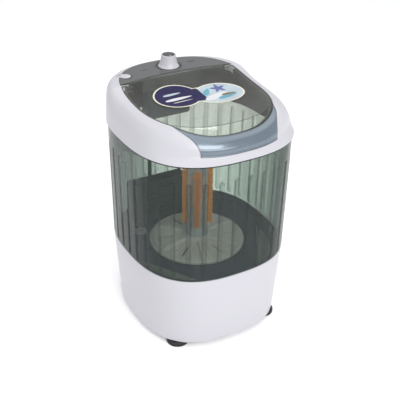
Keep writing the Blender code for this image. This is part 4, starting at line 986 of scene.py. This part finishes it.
def make_top_frame():
    sections = [frame_section(angle) for angle in plan_angles()]
    collar = loft("top_collar", sections, WHITE, ring_close=True)
    add_bearings(collar, WHITE, (0.1300, -0.0045, 0.5060), (0.1338, 0.0035, PANEL_TOP_Z - 0.0008),
                 (0.11, 0.1322))
    deck = plate("deck", deck_outline(), DECK_TOP_Z - DECK_THICK, DECK_TOP_Z, WHITE)
    combine(collar, "UNION", deck)
    rises = [FASCIA_LOW + (FASCIA_HIGH - FASCIA_LOW) * row / 20 for row in range(21)]
    seat_rises = [FASCIA_LOW - 0.006, *rises[1:], 1.0, 1.12]
    seat = fascia_patch("seat", DARK_GAP, seat_rises, 0.006, -FASCIA_SEAT_DEPTH, 0.004)
    inlet = plate("inlet_seat", inlet_outline(CLEARANCE), 0.48, 0.53, WHITE)
    stem = upright("stem_hole", STEM_HOLE_RADIUS, (KNOB_X, KNOB_Y), 0.50, 0.52, WHITE)
    combine(collar, "DIFFERENCE", seat, inlet, stem)
    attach(collar, "cabinet")
    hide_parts("top_frame")

    fascia = fascia_patch("fascia_panel", FASCIA, rises, -0.003, -FASCIA_THICK, 0.0)
    soften(fascia, 0.0006, 3, 50)
    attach(fascia, "cabinet")
    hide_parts("front_fascia")


def shade_sheet_rows(angle, off):
    """The painted-shade sheet's section at one angle, a little off the frame's own inner skin."""
    outward, wall = frame_wall(angle)
    edge = frame_point(angle, 1.0)
    ledge_z = edge.z - REBATE_DEPTH
    lip_z = ledge_z - LIP_HEIGHT - off
    ledge = opening_point(angle, LEDGE_WIDTH + off)
    back = opening_point(angle, LEDGE_WIDTH - 0.0030 - off)
    rows = [
        edge + Vector((-outward.x * 0.0004, -outward.y * 0.0004, -REBATE_DEPTH + off)),
        (*ledge, ledge_z + off), (*ledge, lip_z), (*back, lip_z), (*back, ledge_z - 0.0032 - off),
    ]
    rows += [inner_rise(angle, share, wall + off, ledge_z - off) for share in INNER_SHARES]
    thin = plan_reach(angle, SKIRT_HALF) - SKIRT_WALL - off
    rows += [outward * thin + Vector((0, 0, z))
             for z in (TUB_TOP_Z + 0.0030, skirt_low_z(angle) - 0.0002)]
    return rows


def make_collar_shade_sheet():
    """Painted shade: a dark sheet inside the top frame, from the lip under the lid to the skirt's
    foot, where the frame's inside lies in shade.
    """
    sections = [shade_sheet_rows(angle, 0.0001) + shade_sheet_rows(angle, 0.0006)[::-1]
                for angle in plan_angles()]
    inner_shade = loft("collar_painted_shade_sheet", sections, COLLAR_SHADE, ring_close=True)
    notches = []
    for side in (-1, 1):
        inner, outer = sorted((side * 0.104, side * 0.140))
        notches.append(bar("notch", (inner, HINGE_Y - 0.014, 0.495),
                           (outer, HINGE_Y + 0.012, 0.525), COLLAR_SHADE))
    combine(inner_shade, "DIFFERENCE", *notches)
    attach(inner_shade, "cabinet")


def make_panel():
    def gauge(x, y):
        front = 1 + (hinge_line_y(x) + HINGE_GAP - y) / 0.06
        return larger(opening_gauge(x, y, 0.0006), front, 60)

    outline = outline_ring(gauge, (0, 0.143), 240)
    top = PANEL_TOP_Z
    panel = plate("panel_plate", outline, top - PANEL_THICK, top, PANEL)
    profile = ((0.0, DISH_Z), (KNOB_DISH_RADIUS - 0.0022, DISH_Z),
               (KNOB_DISH_RADIUS - 0.0010, top - KNOB_DISH_DEPTH * 0.8),
               (KNOB_DISH_RADIUS, top + 0.0002), (KNOB_DISH_RADIUS, 0.53), (0.0, 0.53))
    bowl = turned("bowl", profile, PANEL, KNOB_AT, 72)
    stem = upright("stem", STEM_HOLE_RADIUS, KNOB_AT, 0.50, 0.53, PANEL)
    notch = plate("notch", inlet_outline(0.0006), 0.50, 0.53, PANEL)
    combine(panel, "DIFFERENCE", bowl, stem, notch)
    soften(panel, 0.0005)
    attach(panel, "cabinet")
    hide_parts("control_panel")

    marks = []
    for tick in range(TICK_COUNT):
        turn = radians(FIRST_TICK_DEG - TICK_STEP_DEG * tick)
        near, far = 0.0290, 0.0304 if tick % 3 else 0.0318
        if KNOB_Y + far * sin(turn) > TICK_BACK_Y:
            continue
        mark = bar("tick", (near, -0.0004, MARK_LOW_Z), (far, 0.0004, MARK_HIGH_Z), PRINT_AND_SHADE_GREY)
        mark.data.transform(Matrix.Translation((*KNOB_AT, 0)) @ Matrix.Rotation(turn, 4, "Z"))
        marks.append(mark)
    for x, y, length in ((0.052, 0.1440, 0.020), (0.052, 0.1390, 0.012), (-0.058, 0.1400, 0.014)):
        marks.append(bar("dash", (x, y, MARK_LOW_Z), (x + length, y + 0.0016, MARK_HIGH_Z),
                         PRINT_AND_SHADE_GREY))
    with bpy.context.temp_override(active_object=marks[0], selected_editable_objects=marks,
                                   selected_objects=marks, object=marks[0]):
        bpy.ops.object.join()
    marks[0].name = "panel_marks"
    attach(marks[0], "cabinet")


def make_recess_shades():
    """Painted shade in the panel: dark rings in the dish under the knob and along the edge round the
    inlet.
    """
    top = PANEL_TOP_Z
    profile = ((0.0205, DISH_Z + 0.0001), (0.0205, DISH_Z + 0.0003), (0.0252, DISH_Z + 0.0003),
               (0.0262, top + 0.0001), (0.0282, top + 0.0002), (0.0284, top),
               (0.0262, top - 0.0002), (0.0250, DISH_Z + 0.0001))
    ring = turned("knob_recess_painted_shade", profile, PRINT_AND_SHADE_GREY, KNOB_AT, 96, ring=True)
    near, far = inlet_outline(0.0005), inlet_outline(0.0034)
    rings = [[(x, y, z) for x, y in outline] for outline, z in (
        (near, MARK_LOW_Z), (near, top + 0.0003), (far, top + 0.0003), (far, MARK_LOW_Z))]
    crescent = loft("inlet_recess_painted_shade", rings, PRINT_AND_SHADE_GREY, ring_close=True)
    keep = plate("keep", [(-0.1165, 0.09), (-0.080, 0.09), (-0.080, 0.1275), (-0.094, 0.139),
                          (-0.1035, 0.139)], 0.50, 0.53, PRINT_AND_SHADE_GREY)
    combine(crescent, "INTERSECT", keep)
    for piece in (ring, crescent):
        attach(piece, "cabinet")


def make_inlet():
    size = 0.0012  # radius of the head's upper edge
    low = 0.5065
    rings = [[(x, y, low) for x, y in inlet_outline()]]
    for step in range(5):
        turn = radians(90 * step / 4)
        z = INLET_TOP_Z - size * (1 - sin(turn))
        rings.append([(x, y, z) for x, y in inlet_outline(-size * (1 - cos(turn)))])
    middle = middle_of((INLET_NEAR, INLET_FAR))
    head = loft("inlet_fitting", rings, WHITE, False, (*middle, low), (*middle, INLET_TOP_Z))
    spout = upright("spout", 0.0062, INLET_FAR, 0.486, 0.510, WHITE, 40)
    bore = upright("bore", INLET_BORE, INLET_FAR, 0.47, 0.53, WHITE, 40)
    combine(head, "UNION", spout)
    combine(head, "DIFFERENCE", bore)
    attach(head, "cabinet")
    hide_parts("water_inlet")


def make_knob():
    low, top, edge = DISH_Z + 0.0005, KNOB_TOP_Z, KNOB_TOP_RADIUS
    height = top - low

    def flutes(radius, z, turn):
        share = (z - low) / height
        window = smoothstep(0.28, 0.42, share) * (1 - smoothstep(0.86, 0.95, share))
        return radius - 0.00028 * window * (0.5 + 0.5 * cos(KNOB_FLUTES * turn)) ** 3

    hole = 0.0034
    flank = ((0.0158, 0.86), (0.0166, 0.65), (0.0175, 0.48), (0.0184, 0.34), (0.0193, 0.24),
             (0.0206, 0.155), (0.0218, 0.09))
    profile = (
        (0.0, top - 0.0012), (edge - 0.0021, top - 0.0012), (edge - 0.0018, top - 0.0002),
        (edge - 0.0014, top), (edge - 0.0008, top - 0.0001), (edge - 0.0002, top - 0.0006),
        (edge, top - 0.0014), *((radius, low + height * share) for radius, share in flank),
        (KNOB_RADIUS - 0.0001, low + 0.0012), (KNOB_RADIUS, low + 0.0006),
        (KNOB_RADIUS - 0.0003, low), (hole, low), (hole, top - 0.011), (0.0, top - 0.011),
    )
    knob = turned("timer_knob_body", profile, WHITE, KNOB_AT, 120, flutes=flutes)
    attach(knob, "timer")
    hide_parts("timer_knob")
    profile = ((0.0, top - 0.0004), (0.010, top - 0.0003), (edge - 0.0030, top - 0.0002),
               (edge - 0.0025, top - 0.0004), (edge - 0.0025, top - 0.0010), (0.0, top - 0.0010))
    cap = turned("timer_knob_disc", profile, PRINT_AND_SHADE_GREY, KNOB_AT, 72)
    pointer = bar("pointer", (KNOB_X - 0.0006, KNOB_Y - 0.0118, top - 0.0003),
                  (KNOB_X + 0.0006, KNOB_Y - 0.0045, top - 0.00005), PRINT_WHITE)
    pointer.name = "timer_knob_pointer"
    for piece in (cap, pointer):
        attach(piece, "timer")
    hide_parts("knob_cap")


# --- lid ---
def lid_gauge(x, y):
    return larger(opening_gauge(x, y, LID_GAP), 1 + (y - hinge_line_y(x)) / 0.1, 40)


def lid_ring(outline, inset, flare, drop, skirt_drop):
    """The lid's outline moved inwards and below its top surface, further where the skirt is."""
    ring = []
    for x, y in outline:
        share = skirt_share(x, y)
        reach = hypot(x, y - LID_MIDDLE_Y)
        scale = (reach - inset - flare * share) / reach
        inner_x, inner_y = x * scale, LID_MIDDLE_Y + (y - LID_MIDDLE_Y) * scale
        ring.append((inner_x, inner_y, lid_surface_z(inner_y) - drop - skirt_drop * share))
    return ring


def make_lid():
    outline = outline_ring(lid_gauge, (0, LID_MIDDLE_Y), 240)

    def flat_ring(share, drop):
        ring = []
        for x, y in outline:
            across, along = x * share, LID_MIDDLE_Y + (y - LID_MIDDLE_Y) * share
            ring.append((across, along, lid_surface_z(along) - drop))
        return ring

    def skirt_ring(share, side):
        """A ring down the curved skirt, outside it or inside it."""
        bend = share**0.75
        flare = SKIRT_FLARE * (1 - bend**1.5) + side * 0.0019
        return lid_ring(outline, 0.0010 * (1 - share) + side * 0.0016, flare,
                        0.0002 + 0.0008 * share + side * (LID_THICK - 0.0008 * share - 0.0002),
                        SKIRT_DROP * share)

    shares = (0.0, 0.12, 0.28, 0.46, 0.64, 0.82, 1.0)
    flat_shares = (0.2, 0.4, 0.55, 0.7, 0.82, 0.9)
    rings = [flat_ring(share, 0.0) for share in flat_shares]
    rings.append(lid_ring(outline, 0.0030, SKIRT_FLARE, 0.0, 0.0))
    rings.append(lid_ring(outline, 0.0016, SKIRT_FLARE, 0.0002, 0.0))
    rings += [skirt_ring(share, 0.0) for share in shares]
    edge_rings = len(rings)
    rings += [skirt_ring(share, 1.0) for share in reversed(shares)]
    rings += [flat_ring(share, LID_THICK) for share in reversed(flat_shares)]
    top = lid_surface_z(LID_MIDDLE_Y)
    lid = loft("lid_clear_shell", rings, [LID_CLEAR, LID_EDGE_SHADE], False, (0, LID_MIDDLE_Y, top),
               (0, LID_MIDDLE_Y, top - LID_THICK), 30)
    # The lid's side faces get the near-black edge material: painted shade of the gap round the lid.
    count = len(outline)
    first, last = (edge_rings - 1) * count, (edge_rings + 1) * count
    for face in lid.data.polygons:
        if first <= min(face.vertices) and max(face.vertices) < last:
            face.material_index = 1
    add_bearings(lid, LID_CLEAR, (0.1108, -0.0038, HINGE_Z - 0.0034),
                 (0.1205, 0.0030, PANEL_TOP_Z - 0.0010), (0.1121, 0.135))
    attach(lid, "lid")
    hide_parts("lid")

    # A thin near-black line along the skirt's fold: painted shade of the crease.
    fold = [Vector(point) for point in lid_ring(outline, 0.0030, SKIRT_FLARE, 0.0, 0.0)]
    fold = [point for point in fold if skirt_share(point.x, point.y) > 0.03]
    fold.sort(key=lambda point: point.x)
    size = 0.00055
    sections = []
    for point in fold:
        outward = Vector((point.x, point.y - LID_MIDDLE_Y, 0)).normalized() * size
        upward = Vector((0, 0, size * 0.7))
        sections.append([point + outward, point + upward, point - outward, point - upward])
    line = loft("lid_fold_painted_shade", sections, LID_EDGE_SHADE, False, fold[0], fold[-1])
    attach(line, "lid")


def print_sheet(name, outline, lift, surface):
    """A thin printed film that follows the lid's surface."""
    middle_x, middle_y = middle_of(outline)
    high = lift + LABEL_THICK
    rings = []
    for height, share in ((lift, 0.5), (lift, 1.0), (high, 1.0), (high, 0.5)):
        ring = []
        for x, y in outline:
            along = middle_y + (y - middle_y) * share
            ring.append((middle_x + (x - middle_x) * share, along, lid_surface_z(along) + height))
        rings.append(ring)
    z = lid_surface_z(middle_y) + lift
    sheet = loft(name, rings, surface, False, (middle_x, middle_y, z),
                 (middle_x, middle_y, z + LABEL_THICK))
    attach(sheet, "lid")
    return sheet


def make_label():
    left_at, right_at = (-0.043, 0.012), (0.041, -0.007)

    def oval(middle_x, middle_y, half_x, half_y):
        return lambda x, y: hypot((x - middle_x) / half_x, (y - middle_y) / half_y)

    left = oval(*left_at, 0.049, 0.047)
    right = oval(*right_at, 0.056, 0.043)
    waist = oval(0.003, 0.002, 0.040, 0.030)

    def whole(x, y):
        return min(left(x, y), right(x, y), waist(x, y))

    def left_field(x, y):
        return max(min(left(x, y) / 0.93, waist(x, y) / 0.90), (x + 0.10) / 0.109)

    def right_field(x, y):
        return right(x, y) / 0.93

    def field(gauge, middle):
        return outline_ring(gauge, middle, 96, 0.2)

    film = print_sheet("label_border", outline_ring(whole, (0, -0.003), 200), 0.0008, PRINT_CREAM)
    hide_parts("lid_label")
    print_sheet("label_right_field", field(right_field, right_at), 0.00100, PRINT_SKY)
    print_sheet("label_left_field", field(left_field, left_at), 0.00120, PRINT_NAVY)

    def petal(x, y, length, width, turn, lift, surface, name):
        outline = []
        for angle in plan_angles(24):
            along = length * cos(angle)
            across = width * sin(angle) * (1 - 0.35 * cos(angle))
            outline.append((x + along * cos(turn) - across * sin(turn),
                            y + along * sin(turn) + across * cos(turn)))
        print_sheet(name, outline, lift, surface)

    petal(0.030, -0.017, 0.030, 0.009, 0.35, 0.00125, PRINT_WHITE, "label_wave_1")
    petal(0.052, -0.026, 0.024, 0.006, 0.20, 0.00145, PRINT_TEAL, "label_wave_2")
    petal(0.020, 0.006, 0.016, 0.006, 0.9, 0.00145, PRINT_TEAL, "label_wave_3")
    for number in range(5):
        turn = radians(90 + 72 * number)
        petal(0.050 + 0.0085 * cos(turn), 0.012 + 0.0085 * sin(turn), 0.0085, 0.0034, turn,
              0.00165, PRINT_VIOLET, f"label_petal_{number}")
    petal(0.058, -0.018, 0.016, 0.0035, 0.0, 0.00165, PRINT_BROWN, "label_bar_right")
    petal(-0.045, 0.002, 0.030, 0.0048, 0.05, 0.00145, PRINT_WHITE, "label_bar_1")
    petal(-0.050, 0.023, 0.020, 0.0036, 0.05, 0.00145, PRINT_SKY, "label_bar_2")
    petal(-0.042, -0.011, 0.022, 0.0012, 0.05, 0.00145, PRINT_CREAM, "label_bar_3")


# --- what keeps its CAD solid ---
def dress_cad_nodes():
    finishes = {
        WHITE: ("base_plate",),
        WALL_BOX: ("wiring_box", "wire_conduit", "lint_filter"),
        # The timer cover takes the frame's dark painted-shade material.
        COLLAR_SHADE: ("timer_cover",),
        CORE: ("brush_core", "brush_cap", "drain_grate"),
        RUBBER: ("drive_belt", "shaft_seal"),
        STEEL: (
            *(f"foot_screw_{row}_{side}" for row in ("front", "rear") for side in ("left", "right")),
            *(f"motor_bolt_{number}" for number in range(1, 5)),
            "pulsator_screw", "drive_shaft", "upper_bearing", "lower_bearing", "pulley_nut",
            "motor_shaft", "motor_bracket", "capacitor_clamp", "timer_shaft",
            "lid_hinge_pin_left", "lid_hinge_pin_right",
        ),
        CAST: ("bearing_housing", "motor_pulley"),
        MOTOR: ("motor_body",),
        BLACK: ("capacitor", "cord_gland", "drain_pipe", "driven_pulley", "timer_body"),
    }
    for surface, names in finishes.items():
        for name in names:
            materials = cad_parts[name].data.materials
            materials.clear()
            materials.append(surface)


# --- stage, light and camera ---
def make_stage():
    nodes = Nodes("studio_floor")
    tint = nodes.blend(nodes.span(nodes.noise(1.2), 0, 1), (0.93, 0.93, 0.93), (0.95, 0.95, 0.95))
    shader = nodes.add("BsdfPrincipled", Base_Color=tint, Roughness=0.9,
                       Emission_Color=(1, 1, 1, 1), Emission_Strength=FLOOR_GLOW)
    surface = nodes.finish(shader.outputs["BSDF"])
    mesh = bpy.data.meshes.new("studio_floor")
    corners = [(x * FLOOR_REACH, y * FLOOR_REACH, 0) for x, y in ((-1, -1), (1, -1), (1, 1), (-1, 1))]
    mesh.from_pydata(corners, [], [(0, 1, 2, 3)])
    floor = place("studio_floor", mesh, surface)


def softbox(name, at, size, power):
    light = bpy.data.lights.new(name, "AREA")
    light.shape = "RECTANGLE"
    light.size, light.size_y = size
    light.energy = power
    lamp = bpy.data.objects.new(name, light)
    lamp.location = at
    aim = Vector((0, 0, AIM_Z)) - Vector(at)
    lamp.rotation_euler = aim.to_track_quat("-Z", "Y").to_euler()
    bpy.context.scene.collection.objects.link(lamp)


def make_lights():
    world = bpy.data.worlds.new("studio")
    world.use_nodes = True
    background = world.node_tree.nodes["Background"]
    background.inputs["Color"].default_value = (0.97, 0.98, 1.0, 1.0)
    background.inputs["Strength"].default_value = WORLD_STRENGTH
    bpy.context.scene.world = world
    softbox("key_front", (-0.25, -2.35, 1.9), (2.0, 0.9), 30)
    softbox("low_front", (0.02, -2.30, 0.95), (1.9, 0.45), 9)
    softbox("top", (-0.1, 0.1, 2.4), (3.6, 3.6), 34)
    bpy.context.scene.view_settings.view_transform = "Standard"


def make_camera():
    camera = bpy.data.cameras.new("camera")
    camera.lens = LENS_MM
    camera.sensor_width = 36
    made = bpy.data.objects.new("camera", camera)
    turns = [Matrix.Rotation(radians(turn), 4, axis) for turn, axis in CAMERA_TURNS]
    made.matrix_world = Matrix.Translation(CAMERA_AT) @ (turns[0] @ turns[1] @ turns[2])
    bpy.context.scene.collection.objects.link(made)
    bpy.context.scene.camera = made


for make in (make_camera, make_lights, make_stage, dress_cad_nodes, make_base, make_feet, make_tub,
             make_pulsator, make_bristles, make_top_frame, make_collar_shade_sheet, make_panel, make_recess_shades,
             make_inlet, make_knob, make_lid, make_label):
    make()
